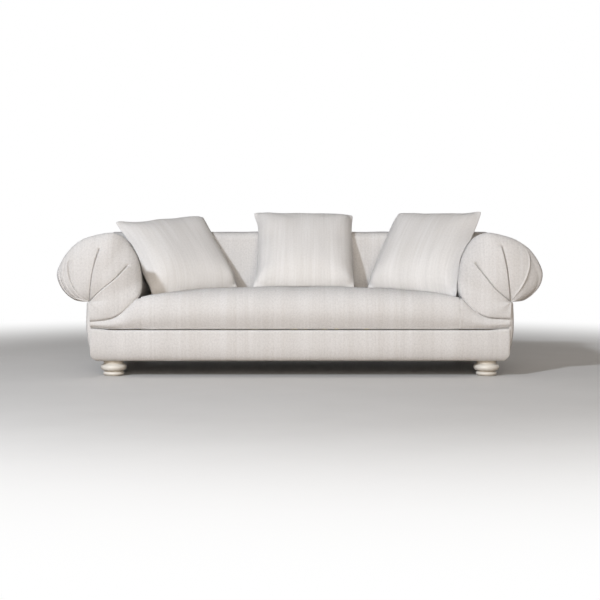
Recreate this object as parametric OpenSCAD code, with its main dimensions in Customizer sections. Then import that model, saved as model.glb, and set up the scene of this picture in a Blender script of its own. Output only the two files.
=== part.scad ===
// Three-seat sofa: pleated scroll arms, one tight crowned seat with a T-shaped front, a low
// tight back, a deep base border, four turned bun feet and three loose square cushions.
// Millimetres. The floor is z = 0, the sofa faces -Y, and the origin is the middle of the
// footprint. Left and right are as seen by someone who looks at the front.

/* [Overall] */
// Width over the two scroll arms
sofa_w = 2460; // [2200:10:2700]
// Depth from the seat front to the outside back
sofa_d = 1040; // [960:10:1120]
// Height of the top of the arms
arm_h = 726; // [690:1:770]
// Height of the top of the back
back_h = 731; // [715:1:790]
// Height of the seat crown at its middle
seat_h = 451; // [435:1:480]

/* [Arms] */
// Width of one scroll arm, from its inner side to the outside of the roll
roll_w = 426; // [400:1:450]
// How far the roll stands out past the side panel
roll_out = 153; // [130:1:170]
// Height of the seam at the outer corner where an arm meets the seat
arm_seam_z = 284; // [275:1:300]
// Height of the tuck under the roll, where the pleats meet
tuck_z = 378; // [370:1:390]
// How far the padded front of an arm is domed
dome = 66; // [50:1:75]
// How far the padded front swells past the rest of the arm
front_swell = 42; // [30:1:50]
// Thickness of the padding on the arm frame
arm_pad = 38; // [30:1:44]
// Depth of a sewn pleat at the tuck
pleat_d = 13; // [4:1:16]

/* [Seat] */
// Depth of the rounded seat front
nose_d = 130; // [90:1:150]
// Thickness of the padding on the seat foam
seat_pad = 34; // [24:1:40]

/* [Back] */
// Thickness of the back at its top
back_t = 200; // [190:1:230]
// How far the foot of the inside back comes forward of its top
back_rake = 48; // [20:1:60]
// Thickness of the padding on the back foam
back_pad = 14; // [10:1:20]

/* [Base and frame] */
// Height of the feet, up to the dust cover
foot_h = 78.5; // [60:0.5:110]
// Height of the padded base border
border_h = 160; // [150:1:170]
// Thickness of the padded base border
border_t = 38; // [30:1:44]
// Thickness of the padded sides at the base, from the rails to the flank
side_t = 48; // [44:1:54]
// Height of the hardwood rails
rail_h = 152; // [146:1:158]
// Thickness of the hardwood rails and boards
rail_t = 28; // [22:1:32]
// Thickness of the plywood arm boards
ply_t = 22; // [15:1:25]
// Width of one webbing strap
strap_w = 50; // [30:1:60]
// Distance from the front or the back of the base to a foot's centre
foot_in_y = 97; // [92:1:110]
// Distance from the side of the base to a foot's centre
foot_in_x = 127; // [110:1:160]

/* [Loose cushions] */
// Length of a cushion's sewn edge from corner to corner
cushion_w = 530; // [500:5:540]
// Thickness of a cushion at its middle
cushion_t = 150; // [120:1:156]

/* [Hidden] */

$fn = 72;
cut = 20;          // overrun of every cut past the face that it opens
snug = 0.3;        // gap between padding and what it is stretched over
seam_gap = 3;      // sunk width of a sewn seam between two covers
fabric_col = [0.90, 0.89, 0.86];
foam_col = [0.93, 0.86, 0.62];
timber_col = [0.78, 0.62, 0.42];
ply_col = [0.83, 0.70, 0.50];
steel_col = [0.62, 0.63, 0.65];
paint_col = [0.93, 0.91, 0.86];
black_col = [0.12, 0.12, 0.12];
jute_col = [0.66, 0.56, 0.40];
felt_col = [0.58, 0.57, 0.55];

// Places that follow from the driving sizes
half_w = sofa_w / 2;
half_d = sofa_d / 2;
arm_in = half_w - roll_w;
base_half = half_w - roll_out;
dust_t = 1.5;
rail_z = foot_h + dust_t;
rail_top = rail_z + rail_h;
web_t = 1.5;
felt_t = 5;
seat_z = rail_top + 2 * web_t + felt_t + snug;
border_z = foot_h;
panel_t = 18;                        // padded side panel above the base border
panel_in = base_half - panel_t;      // its inner face, in line with the corner seam
rail_out = base_half - side_t;
border_back = 8;                     // how far the border stands behind the seat front
border_y = -half_d + border_back;
rail_front = border_y + border_t + snug;
out_back_t = 21;                     // padded outside back
rail_back = half_d - out_back_t - snug;
rail_in_x = rail_out - rail_t;
block_h = 45;                        // corner blocks
block_leg = 165;
foot_x = base_half - foot_in_x;
foot_y0 = -half_d + foot_in_y;
foot_y1 = rail_front + rail_back - foot_y0;
nut_h = 2.5;                         // flange of a tee nut
bore_play = 0.05;                    // radial room round a bolt, stud or screw
bolt_r = 5;
bolt_z = rail_top - rail_h / 4;
leg_w = 90;                          // leg of an arm board, inside the side rail
leg_x1 = rail_in_x - snug;
leg_x0 = leg_x1 - leg_w;
leg_z = rail_z + block_h + 2 * nut_h;
stud_r = 4;
foot_stud_z = foot_h / 2;
screw_r = 2.5;
screw_len = 48;
post_w = 45;
post_d = 70;
post_y0 = rail_back - post_d;
back_front_y = half_d - back_t;
back_cap = 71;                       // padding and rail above the back posts
top_rail_z = back_h - back_cap;
upright_x = 0.253 * base_half;
out_back_drop = 32;                  // from the top of the back to the outside back
out_back_top = back_h - out_back_drop;

function lerp(a, b, t) = a + (b - a) * t;
function rise(t) = t * t * (3 - 2 * t);
// Point of a smooth curve through the points p, at the position u counted in points
function curve_at(p, u) =
    let (n = len(p), i = min(floor(u), n - 2), t = u - i,
        a = p[max(i - 1, 0)], b = p[i], c = p[i + 1], d = p[min(i + 2, n - 1)])
    0.5 * (2 * b + (c - a) * t + (2 * a - 5 * b + 4 * c - d) * t * t
        + (3 * b - a - 3 * c + d) * t * t * t);
// Points of a quarter ellipse about c, from the angle a0 to a1, with half axes rx and ry
function arc(c, rx, ry, a0, a1, n) =
    [for (i = [0:n]) let (a = lerp(a0, a1, i / n)) c + [rx * cos(a), ry * sin(a)]];

module slab(x0, x1, y0, y1, z0, z1) {
    translate([x0, y0, z0]) cube([x1 - x0, y1 - y0, z1 - z0]);
}
module both_sides() {
    children();
    mirror([1, 0, 0]) children();
}
// Extrudes an outline drawn in x and z from y0 to y1
module along_y(y0, y1) {
    translate([0, y1, 0]) rotate([90, 0, 0]) linear_extrude(y1 - y0) children();
}
// Extrudes an outline drawn in y and z over the width x0 to x1
module along_x(x0, x1) {
    translate([x0, 0, 0]) rotate([90, 0, 90]) linear_extrude(x1 - x0) children();
}
// Faces of a closed skin over rings of m points each, with a centre point for each end
function skin_faces(rings, m) = concat(
    [for (r = [0:rings - 2]) for (i = [0:m - 1]) let (j = (i + 1) % m)
        each [[r * m + i, r * m + j, (r + 1) * m + j], [r * m + i, (r + 1) * m + j, (r + 1) * m + i]]],
    [for (i = [0:m - 1]) [rings * m, (i + 1) % m, i]],
    [for (i = [0:m - 1]) [rings * m + 1, (rings - 1) * m + i, (rings - 1) * m + (i + 1) % m]]);
function middle(p) = [for (k = [0:2]) [for (q = p) q[k]] * [for (q = p) 1] / len(p)];

// Scroll arm: the outline seen from the front, in shares of the arm's width and of its height
// above the corner seam. It starts at the tuck, runs out and over the roll, and ends at the seam.
arm_shares = [[0.635, 0.212], [0.8, 0.246], [0.965, 0.416], [1, 0.523], [0.97, 0.64], [0.88, 0.791],
    [0.765, 0.898], [0.625, 0.956], [0.355, 1], [0.245, 0.956], [0.165, 0.878], [0.05, 0.703],
    [0.005, 0.514], [0.008, 0.295], [0.11, 0.179], [0.31, 0.048], [0.59, 0]];
arm_rise = arm_h - arm_seam_z;
tuck = [panel_in - snug, tuck_z];
arm_points = concat([tuck],
    [for (i = [1:len(arm_shares) - 1]) [arm_in + arm_shares[i][0] * roll_w,
        arm_seam_z + arm_shares[i][1] * arm_rise]]);
arm_last = len(arm_points) - 1;
roll_mid = [arm_in + 0.5 * roll_w, arm_seam_z + 0.55 * arm_rise];
// The three pleats, placed by where they would reach the outline, and the width of a crease
pleat_at = [4.3, 7.45, 11.05];
crease = 0.16;
arm_marks = concat([0], [for (p = pleat_at) each [p - crease, p, p + crease]], [arm_last]);
arm_steps = [9, 1, 1, 6, 1, 1, 7, 1, 1, 10];
arm_u = concat([for (g = [0:len(arm_steps) - 1]) for (s = [0:arm_steps[g] - 1])
    lerp(arm_marks[g], arm_marks[g + 1], s / arm_steps[g])], [arm_last]);
corner_seam = [[panel_in - snug, lerp(arm_seam_z, tuck_z, 0.4)]];
arm_ring = concat([for (u = arm_u) let (p = curve_at(arm_points, u))
    [min(p[0], u > arm_last / 2 ? panel_in - snug : p[0]), p[1]]], corner_seam);
arm_ring_u = concat(arm_u, [for (p = corner_seam) arm_last]);
arm_m = len(arm_ring);
dome_back = 3;         // how far the domes stay behind the seat front
arm_edge_y = -half_d + dome + dome_back;
arm_back_y = half_d - back_t - ply_t / 2;
arm_reach = max([for (p = arm_ring) norm(p - tuck)]);
swell_shares = [[0, 0], [2, 0.55], [5, 0.55], [7, 1], [11, 1], [12.6, 0], [arm_last, 0]];
function arm_swell(u) = lookup(u, swell_shares);
function arm_inset(i, d) = let (p = arm_ring[i], v = roll_mid - p) p + v * d / norm(v);
// A section of the arm at the depth y, drawn in where it lies behind the swollen front
function arm_section(y, share) = [for (i = [0:arm_m - 1])
    let (p = arm_inset(i, share * front_swell * arm_swell(arm_ring_u[i]))) [p[0], y, p[1]]];
function crease_at(u) = max([for (p = pleat_at) abs(u - p) < crease / 2 ? 1 : 0]);
function lip_at(u) = max([for (p = pleat_at) abs(u - p + crease) < crease / 2 ? 1 : 0]);
// A ring of the pleated front at the share t of the way from the tuck to the outline
function arm_front(t) = [for (i = [0:arm_m - 1])
    let (p = lerp(tuck, arm_ring[i], t), u = arm_ring_u[i],
        high = dome * pow(norm(arm_ring[i] - tuck) / arm_reach, 0.5),
        fold = pow(max(0, 1 - t / 0.8), 0.6))
    [p[0], arm_edge_y - high * pow(max(0, 1 - pow(2 * t - 1, 2)), 0.5)
        + fold * pleat_d * (crease_at(u) - 0.3 * lip_at(u)), p[1]]];
arm_fan_shares = [0.1, 0.22, 0.36, 0.52, 0.68, 0.82, 0.92, 0.98];
arm_rings = concat([for (t = arm_fan_shares) arm_front(t)],
    [arm_section(arm_edge_y, 0), arm_section(arm_edge_y + dome / 2, 0),
    arm_section(arm_edge_y + dome, 0.55), arm_section(arm_edge_y + 1.7 * dome, 0.95),
    arm_section(arm_back_y, 1)]);
// The room for the frame inside the padding, open at its foot and at its rear
arm_room = concat(
    [for (i = [0:arm_m - 1]) if (arm_ring_u[i] > 1.3 && arm_ring_u[i] < 12.7)
        arm_inset(i, front_swell * arm_swell(arm_ring_u[i]) + arm_pad)],
    [[arm_in + arm_pad, arm_seam_z - cut], [panel_in - panel_t - snug, arm_seam_z - cut],
    [panel_in - panel_t - snug, tuck_z + panel_t]]);
board_front_y = arm_edge_y + ply_t;
module arm_form() {
    points = concat([for (r = arm_rings) each r],
        [[tuck[0], arm_edge_y, tuck[1]], [roll_mid[0], arm_back_y, roll_mid[1]]]);
    polyhedron(points, skin_faces(len(arm_rings), arm_m), convexity = 6);
}
module arm_cover() {
    color(fabric_col) difference() {
        arm_form();
        along_y(board_front_y - snug, arm_back_y + cut) polygon(arm_room);
    }
}

// The inner side of the padding seats on the boards, which stop short of it by the snug gap
arm_board = concat(
    [for (i = [0:arm_m - 1]) if (arm_ring_u[i] > 1.3 && arm_ring_u[i] < 12.7)
        arm_inset(i, front_swell * arm_swell(arm_ring_u[i]) + arm_pad + snug)],
    [[arm_in + arm_pad + snug, arm_seam_z + snug], [leg_x0, arm_seam_z + snug], [leg_x0, leg_z],
    [leg_x1, leg_z], [leg_x1, arm_seam_z], [panel_in - panel_t - 2 * snug, arm_seam_z],
    [panel_in - panel_t - 2 * snug, tuck_z + panel_t + snug]]);
module arm_board(y0) {
    color(ply_col) difference() {
        along_y(y0, y0 + ply_t) polygon(arm_board);
        arm_bolt_axis(y0) cylinder(h = roll_w, r = bolt_r + bore_play, center = true);
    }
}
// Puts its children on the axis of the bolt that holds an arm board to the side rail
module arm_bolt_axis(y0) {
    translate([rail_in_x, y0 + ply_t / 2, bolt_z]) rotate([0, 90, 0]) children();
}
board_rear_y = arm_back_y - snug - ply_t;
slat_t = 20;
slat_w = 60;
// Slats between the two boards of an arm, each flat under the outline at one of these places
slat_at = [3.1, 5.6, 7.4, 10.1, 11.7];
slat_sag = 13;         // how much further in a flat slat lies than the round padding
module arm_slats() {
    color(timber_col) for (u = slat_at)
        let (t = curve_at(arm_points, u + 0.1) - curve_at(arm_points, u - 0.1),
            n = [-t[1], t[0]] / norm(t),
            q = curve_at(arm_points, u) + n * (front_swell + arm_pad + slat_t / 2 + slat_sag))
        along_y(board_front_y + ply_t, board_rear_y)
            translate(q) rotate(atan2(t[1], t[0])) square([slat_w, slat_t], center = true);
    color(timber_col) slab(panel_in - panel_t - slat_t - 3 * snug, panel_in - panel_t - 3 * snug,
        board_front_y + ply_t, board_rear_y, tuck_z - slat_w, tuck_z);
}
bolt_head_r = 11;
bolt_head_t = 4;
bolt_reach = leg_w + snug + bolt_head_t;
module arm_bolts() {
    color(steel_col) both_sides() for (y0 = [board_front_y, board_rear_y]) arm_bolt_axis(y0)
        translate([0, 0, -bolt_reach]) {
            cylinder(h = bolt_reach + rail_t - bolt_head_t, r = bolt_r);
            cylinder(h = bolt_head_t, r = bolt_head_r);
        }
}

// The padded flank, seen from the front: the share of its thickness that it has lost at each
// share of its height, from the turned-under foot up to the tuck
flank_shares = [[0, 0.97], [0.025, 0.76], [0.09, 0.45], [0.18, 0.24], [0.37, 0.08], [0.53, 0],
    [0.74, -0.03], [1, 0]];
flank_h = tuck_z - seam_gap / 2 - border_z;
function flank(z) = base_half - side_t * lookup((z - border_z) / flank_h, flank_shares);
flank_steps = 16;
flank_line = [for (i = [0:flank_steps]) let (t = pow(i / flank_steps, 1.6), z = border_z + t * flank_h)
    [flank(z) - (i == flank_steps ? seam_gap : 0), z]];
border_top = border_z + border_h;
flank_front = 18;      // from the seat front to the side panel
flank_round = 26;      // radius of its upright corners
flank_proud = 4;       // how far its fullest part stands past the base
flank_x = base_half + flank_proud - flank_round;
module outside_arm() {
    color(fabric_col) difference() {
        intersection() {
            along_y(-half_d + flank_front, half_d) polygon(concat([[rail_out + snug, border_z]],
                flank_line, [[panel_in, border_z + flank_h], [panel_in, border_top],
                [rail_out + snug, border_top]]));
            translate([0, 0, -cut]) linear_extrude(arm_h) polygon(concat(
                [[arm_in, half_d], [arm_in, -half_d]],
                arc([flank_x, -half_d + flank_front + flank_round], flank_round, flank_round, -90, 0, 8),
                arc([flank_x, half_d - flank_round], flank_round, flank_round, 0, 90, 8)));
        }
        slab(arm_in, panel_in, -half_d, rail_front, border_z - cut, border_top + cut);
    }
}
// Cross-section of the front border: a soft roll at its top edge, and turned under at its foot
module front_border() {
    top_r = 12;
    foot_r = 34;
    belly = 2;         // how far the face bulges past its rolled edges
    color(fabric_col) intersection() {
        along_x(-panel_in + snug, panel_in - snug) polygon(concat(
            [[border_y + border_t, border_z], [border_y + border_t, border_top - seam_gap]],
            arc([border_y + top_r + belly, border_top - seam_gap - top_r], top_r, top_r, 90, 180, 8),
            [[border_y, border_z + border_h / 2]],
            arc([border_y + foot_r + belly, border_z + foot_r], foot_r, foot_r, 180, 270, 8)));
        along_y(-half_d, half_d) polygon(concat(flank_line,
            [for (i = [flank_steps:-1:0]) [-flank_line[i][0], flank_line[i][1]]]));
    }
}
module outside_back() {
    top_r = 9;
    color(fabric_col) intersection() {
        along_x(-base_half, base_half) polygon(concat(
            [[half_d - out_back_t, border_z], [half_d - out_back_t, out_back_top],
            [half_d - top_r, out_back_top]],
            arc([half_d - top_r, out_back_top - top_r], top_r, top_r, 90, 0, 6),
            arc([half_d - top_r, border_z + top_r], top_r, top_r, 0, -90, 6)));
        along_y(-half_d, half_d + cut) polygon(concat(
            [for (p = flank_line) if (p[1] < border_z + flank_h) [min(p[0], rail_out) - snug, p[1]]],
            [[rail_out - snug, out_back_top + cut], [-rail_out + snug, out_back_top + cut]],
            [for (i = [flank_steps - 1:-1:0])
                [-min(flank_line[i][0], rail_out) + snug, flank_line[i][1]]]));
    }
}

// Hardwood base
module side_rail() {
    color(timber_col) difference() {
        slab(rail_in_x, rail_out, rail_front + rail_t, rail_back - rail_t, rail_z, rail_top);
        for (y0 = [board_front_y, board_rear_y])
            arm_bolt_axis(y0) cylinder(h = roll_w, r = bolt_r + bore_play, center = true);
        corners() block_screw_places() screw_bore();
    }
}
module cross_rail(y0) {
    color(timber_col) difference() {
        slab(-rail_out, rail_out, y0, y0 + rail_t, rail_z, rail_top);
        corners() block_screw_places() screw_bore();
    }
}
stretcher_x = base_half / 3;
stretcher_h = rail_h / 2;
module seat_stretchers() {
    color(timber_col) both_sides() slab(stretcher_x - rail_t / 2, stretcher_x + rail_t / 2,
        rail_front + rail_t, rail_back - rail_t, rail_z, rail_z + stretcher_h);
}
module corner_block() {
    difference() {
        translate([rail_in_x, rail_front + rail_t, rail_z]) linear_extrude(block_h)
            polygon([[0, 0], [-block_leg, 0], [0, block_leg]]);
        translate([foot_x, foot_y0, rail_z - cut]) cylinder(h = block_h + 2 * cut, r = stud_r + bore_play);
        block_screw_places() screw_bore();
    }
}
// Every corner of the base holds the same things
module corners() {
    both_sides() {
        children();
        translate([0, rail_front + rail_back, 0]) mirror([0, 1, 0]) children();
    }
}
// Two screws per block, driven square into the two rails from the block's long side
module block_screw_places() {
    for (s = [0.3, 0.7]) translate([rail_in_x, rail_front + rail_t, rail_z + block_h / 2])
        if (s < 0.5) translate([-block_leg * (1 - s), block_leg * s / 2, 0]) rotate([90, 0, 0]) children();
        else translate([-block_leg * (1 - s) / 2, block_leg * s, 0]) rotate([0, 90, 0]) children();
}
module screw_bore() {
    cylinder(h = screw_len + bore_play, r = screw_r + bore_play);
}
module corner_screws() {
    color(steel_col) corners() block_screw_places() cylinder(h = screw_len, r = screw_r);
}
module corner_blocks() {
    color(timber_col) corners() corner_block();
}
module foot_bolts() {
    color(steel_col) corners() translate([foot_x, foot_y0, foot_stud_z])
        cylinder(h = rail_z + block_h + nut_h - foot_stud_z, r = stud_r);
}
module tee_nuts() {
    color(steel_col) corners() translate([foot_x, foot_y0, rail_z + block_h]) difference() {
        cylinder(h = nut_h, r = 2.5 * stud_r);
        translate([0, 0, -cut]) cylinder(h = 2 * cut, r = stud_r + bore_play);
    }
}

// Turned foot: a thin disc on the floor, a groove, a round bun and a drawn-in neck
glide_t = 3;
glide_r = 18;
disc_r = 53;
disc_h = 0.28 * foot_h;
bun_r = 65.5;
bun_z = 0.56 * foot_h;
bun_h = 0.22 * foot_h;
neck_r = 53;
groove_r = 45;
lip = 1;               // small steps of the turning
module foot() {
    color(paint_col) difference() {
        rotate_extrude() polygon(concat([[0, glide_t / 2], [disc_r - 6 * lip, glide_t / 2]],
            arc([disc_r - disc_h / 2, (glide_t + disc_h) / 2], disc_h / 2, disc_h / 2 - glide_t / 4,
                -80, 80, 10),
            [[groove_r, disc_h + lip], [groove_r, bun_z - bun_h * 0.98]],
            arc([bun_r - bun_h, bun_z], bun_h, bun_h, -75, 75, 14),
            [[neck_r - 4 * lip, bun_z + bun_h * 1.06], [neck_r - lip, foot_h - 4 * lip],
            [neck_r + 2 * lip, foot_h],
            [0, foot_h]]));
        translate([0, 0, foot_stud_z - 2 * lip]) cylinder(h = foot_h, r = stud_r + bore_play);
        translate([0, 0, -cut]) cylinder(h = cut + glide_t, r = glide_r + bore_play);
    }
}
module foot_glides() {
    color(black_col) corners() translate([foot_x, foot_y0, 0]) cylinder(h = glide_t, r = glide_r);
}
dust_in = 2;           // how far the dust cloth stays inside the rails
module dust_cover() {
    color(black_col) difference() {
        slab(-rail_out + dust_in, rail_out - dust_in, rail_front + dust_in, rail_back - dust_in,
            foot_h, rail_z);
        corners() translate([foot_x, foot_y0, 0]) cylinder(h = arm_h, r = stud_r + bore_play);
    }
}

// Webbing: straps from front to back, and straps from side to side laid over them
strap_count = 9;
cross_count = 3;
strap_in = 4;          // how far a strap ends inside the rail that it is tacked to
seat_half = arm_in - 5 * snug;
module seat_webbing() {
    pitch = 2 * (seat_half - strap_w) / (strap_count - 1);
    color(jute_col) for (i = [0:strap_count - 1]) let (x = -seat_half + strap_w + i * pitch)
        slab(x - strap_w / 2, x + strap_w / 2, rail_front + strap_in, rail_back + rail_t - post_d,
            rail_top, rail_top + web_t);
    color(jute_col) for (i = [1:cross_count]) let (y = lerp(rail_front, rail_back, i / (cross_count + 1)))
        slab(-rail_out + rail_t / 4, rail_out - rail_t / 4, y - strap_w / 2, y + strap_w / 2,
            rail_top + web_t, rail_top + 2 * web_t);
}
insulator_y1 = back_front_y + back_pad;
module seat_insulator() {
    color(felt_col) slab(-seat_half, seat_half, rail_front, insulator_y1,
        rail_top + 2 * web_t, rail_top + 2 * web_t + felt_t);
}

// Seat: a section in y and z for each place across, full between the arms and a low strip past them
seat_front_y = -half_d;
seat_rear_y = back_front_y - back_rake - seam_gap;
strip_rear_y = board_front_y - 2 * snug;
crown_shares = [[0, 1], [0.32, 1], [0.48, 0.976], [0.66, 0.935], [0.84, 0.876], [0.95, 0.80], [1, 0.75]];
arm_foot = [for (i = [arm_m - 1:-1:0]) if (arm_ring_u[i] > 13 && i < arm_m - 1) arm_ring[i]];
arm_foot_line = [for (i = [len(arm_foot) - 1:-1:0]) arm_foot[i]];
function seat_top(x) = abs(x) <= seat_half
    ? seat_z + (seat_h - seat_z) * lookup(abs(x) / seat_half, crown_shares)
    : min(lookup(abs(x), arm_foot_line) - seam_gap, seat_z + (seat_h - seat_z) * 0.73);
seat_slope = 26;       // fall of the seat from its crown to its rear
end_turn = 9;          // how far its ends turn back at the corners
seat_edge = 10;        // rounding of its rear edge
nose_n = 7;
top_n = 5;
function seat_section(x, full) =
    let (top = seat_top(x), h = top - seat_z, belly = seat_z + 0.42 * h,
        strip_nose = min(0.9 * h, 0.86 * (strip_rear_y - seat_front_y)),
        nose = full ? lerp(nose_d, strip_nose, rise(max(0, abs(x) / seat_half * 2.2 - 1.2))) : strip_nose,
        turn = end_turn * rise(max(0, (abs(x) - seat_half) / (panel_in - seat_half))),
        front = seat_front_y + turn, rear = full ? seat_rear_y : strip_rear_y)
    concat([[front + 0.11 * h, seat_z], [front + 0.02 * h, seat_z + 0.22 * h]],
        arc([front + nose, belly], nose, top - belly, 180, 90, nose_n),
        [for (i = [1:top_n]) let (t = i / top_n) [lerp(front + nose, rear - 5 * snug, t),
            top - (full ? seat_slope * pow(t, 0.8) : snug)]],
        [[rear, top - (full ? seat_slope : 0) - seat_edge], [rear, seat_z]]);
seat_inner_shares = [0, 0.16, 0.32, 0.48, 0.64, 0.76, 0.86, 0.93, 0.975, 1];
seat_outer_n = 10;
seat_right = concat([for (s = seat_inner_shares) [s * seat_half, true]],
    [for (i = [0:seat_outer_n]) [lerp(seat_half + snug, panel_in - snug, i / seat_outer_n), false]]);
seat_places = concat([for (i = [len(seat_right) - 1:-1:1]) [-seat_right[i][0], seat_right[i][1]]],
    seat_right);
module seat_form() {
    rings = [for (s = seat_places) [for (p = seat_section(s[0], s[1])) [s[0], p[0], p[1]]]];
    points = concat([for (r = rings) each r], [middle(rings[0]), middle(rings[len(rings) - 1])]);
    polyhedron(points, skin_faces(len(rings), len(rings[0])), convexity = 8);
}
// The block of foam inside, between the arms
foam_side = seat_half - seat_pad;
foam_front = seat_front_y + seat_pad;
foam_top = seat_z + 0.73 * (seat_h - seat_z) - seat_pad;
module foam_block(grow) {
    slab(-foam_side - grow, foam_side + grow, foam_front - grow, seat_rear_y - seat_pad + grow,
        seat_z - (grow > 0 ? cut : 0), foam_top + grow);
}
module seat_foam() {
    color(foam_col) foam_block(0);
}
module seat_cover() {
    color(fabric_col) difference() {
        seat_form();
        foam_block(snug);
    }
}

// Back frame and back
module back_end_posts() {
    color(timber_col) both_sides() slab(rail_out - post_w, rail_out, post_y0, rail_back,
        rail_top, top_rail_z);
}
module back_uprights() {
    color(timber_col) both_sides() slab(upright_x - post_w / 2, upright_x + post_w / 2, post_y0,
        rail_back, rail_top, top_rail_z);
}
back_rail_d = post_d + rail_t;
module back_top_rail() {
    color(timber_col) slab(-rail_out, rail_out, rail_back - back_rail_d, rail_back, top_rail_z,
        top_rail_z + rail_t);
}
tack_z = rail_top + rail_h / 2;
module back_tack_rail() {
    color(timber_col) slab(-seat_half, seat_half, rail_back - back_rail_d, post_y0, tack_z,
        tack_z + 2 * rail_t);
}
back_strap_count = 7;
back_web_y = rail_back - back_rail_d;
module back_webbing() {
    pitch = 2 * (seat_half - 2 * strap_w) / (back_strap_count - 1);
    color(jute_col) for (i = [0:back_strap_count - 1]) let (x = -seat_half + 2 * strap_w + i * pitch)
        slab(x - strap_w / 2, x + strap_w / 2, back_web_y - web_t, back_web_y, tack_z + rail_t / 2,
            top_rail_z + rail_t - strap_in);
}
foam_y0 = back_front_y + back_pad;
foam_ease = 5;         // room over the back foam, below its padding
foam_cap = back_h - back_pad - foam_ease;
module back_foam() {
    color(foam_col) along_x(-seat_half, seat_half) polygon([[foam_y0, seat_z],
        [foam_y0, foam_cap - 2 * rail_t], [foam_y0 + rail_t, foam_cap], [rail_back, foam_cap],
        [rail_back, top_rail_z + rail_t + snug], [back_web_y - web_t - snug, top_rail_z + rail_t + snug],
        [back_web_y - web_t - snug, seat_z]]);
}
back_r = 46;           // radius of the back's top front edge
back_end = 18;         // rounding of its two ends
function back_section(x, low, inset) =
    let (y0 = back_front_y + inset, y1 = half_d - inset, top = back_h - inset,
        z0 = low ? seat_z : tuck_z + snug,
        rake = low ? back_rake : 0)
    concat([for (t = [0, 0.3, 0.6, 0.85]) [y0 - rake * pow(1 - t, 1.3),
            lerp(z0, top - back_r, t)]],
        arc([y0 + back_r, top - back_r], back_r, back_r, 180, 90, 6),
        [[(y0 + y1) / 2, top + snug]],
        arc([y1 - back_r / 2, top - back_r / 2], back_r / 2, back_r / 2, 90, 0, 4),
        [[y1, z0]]);
back_right = concat([for (s = [0, 0.5, 0.9, 0.985]) [s * seat_half, true, 0]],
    [[seat_half, true, 0.1 * back_end]],
    [[seat_half + snug, false, 0], [panel_in, false, 0],
    [base_half - 0.28 * back_end, false, 0.17 * back_end],
    [base_half - 0.06 * back_end, false, 0.5 * back_end], [base_half, false, back_end]]);
back_places = concat([for (i = [len(back_right) - 1:-1:1])
    [-back_right[i][0], back_right[i][1], back_right[i][2]]], back_right);
module back_form() {
    rings = [for (s = back_places) [for (p = back_section(s[0], s[1], s[2])) [s[0], p[0], p[1]]]];
    points = concat([for (r = rings) each r], [middle(rings[0]), middle(rings[len(rings) - 1])]);
    polyhedron(points, skin_faces(len(rings), len(rings[0])), convexity = 6);
}
module back_cover() {
    color(fabric_col) difference() {
        back_form();
        along_x(-rail_out - snug, rail_out + snug) polygon([[foam_y0 - snug, seat_z - cut],
            [foam_y0 - snug, foam_cap - 2 * rail_t + snug], [foam_y0 + rail_t - snug, foam_cap + snug],
            [half_d - out_back_t + snug, foam_cap + snug], [half_d - out_back_t + snug, out_back_top + snug],
            [half_d + cut, out_back_top + snug], [half_d + cut, seat_z - cut]]);
    }
}
// Padded board that closes the rear end of an arm's roll
facing_t = back_front_y - arm_back_y - 2 * snug;
module arm_facing() {
    color(fabric_col) along_y(arm_back_y + snug, arm_back_y + snug + facing_t)
        polygon([for (p = arm_section(0, 1)) [p[0], p[2]]]);
}

// Loose cushions. For each, in shares of a cushion's side: how far the middle of its bottom edge
// lies in from the arm or across from the sofa's middle, in front of the back, and below the seat
// crown. Then its turn, lean and roll, the share by which its outer side curls up over an arm,
// and which side that is.
cushion_shares = [[0.463, 0.663, 0.0706, 29.5, 42.9, 5.2, 0.0766, -1],
    [0.0396, 0.528, 0.0314, 0.8, 40.4, -0.7, 0, 1],
    [0.431, 0.6093, 0.0537, -32.5, 37.6, -0.9, 0.0392, 1]];
cushion_places = [for (i = [0:2]) let (c = cushion_shares[i])
    [i == 1 ? c[0] * cushion_w : c[7] * (arm_in - c[0] * cushion_w),
    back_front_y - c[1] * cushion_w, seat_h - c[2] * cushion_w, c[3], c[4], c[5],
    c[6] * cushion_w, c[7]]];
cushion_n = 14;
edge_in = 0.03;         // share by which the edges run inside the corners, which stand out as ears
ear_power = 8;
back_fill = 0.30;       // share of a cushion's thickness behind its seam
function cushion_axes(c) = let (yaw = c[3], lean = c[4], roll = c[5],
        r = [cos(yaw), sin(yaw), 0], back = [-sin(yaw), cos(yaw), 0],
        up = back * sin(lean) + [0, 0, 1] * cos(lean))
    [r * cos(roll) + up * sin(roll), up * cos(roll) - r * sin(roll), cross(r, up)];
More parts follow.
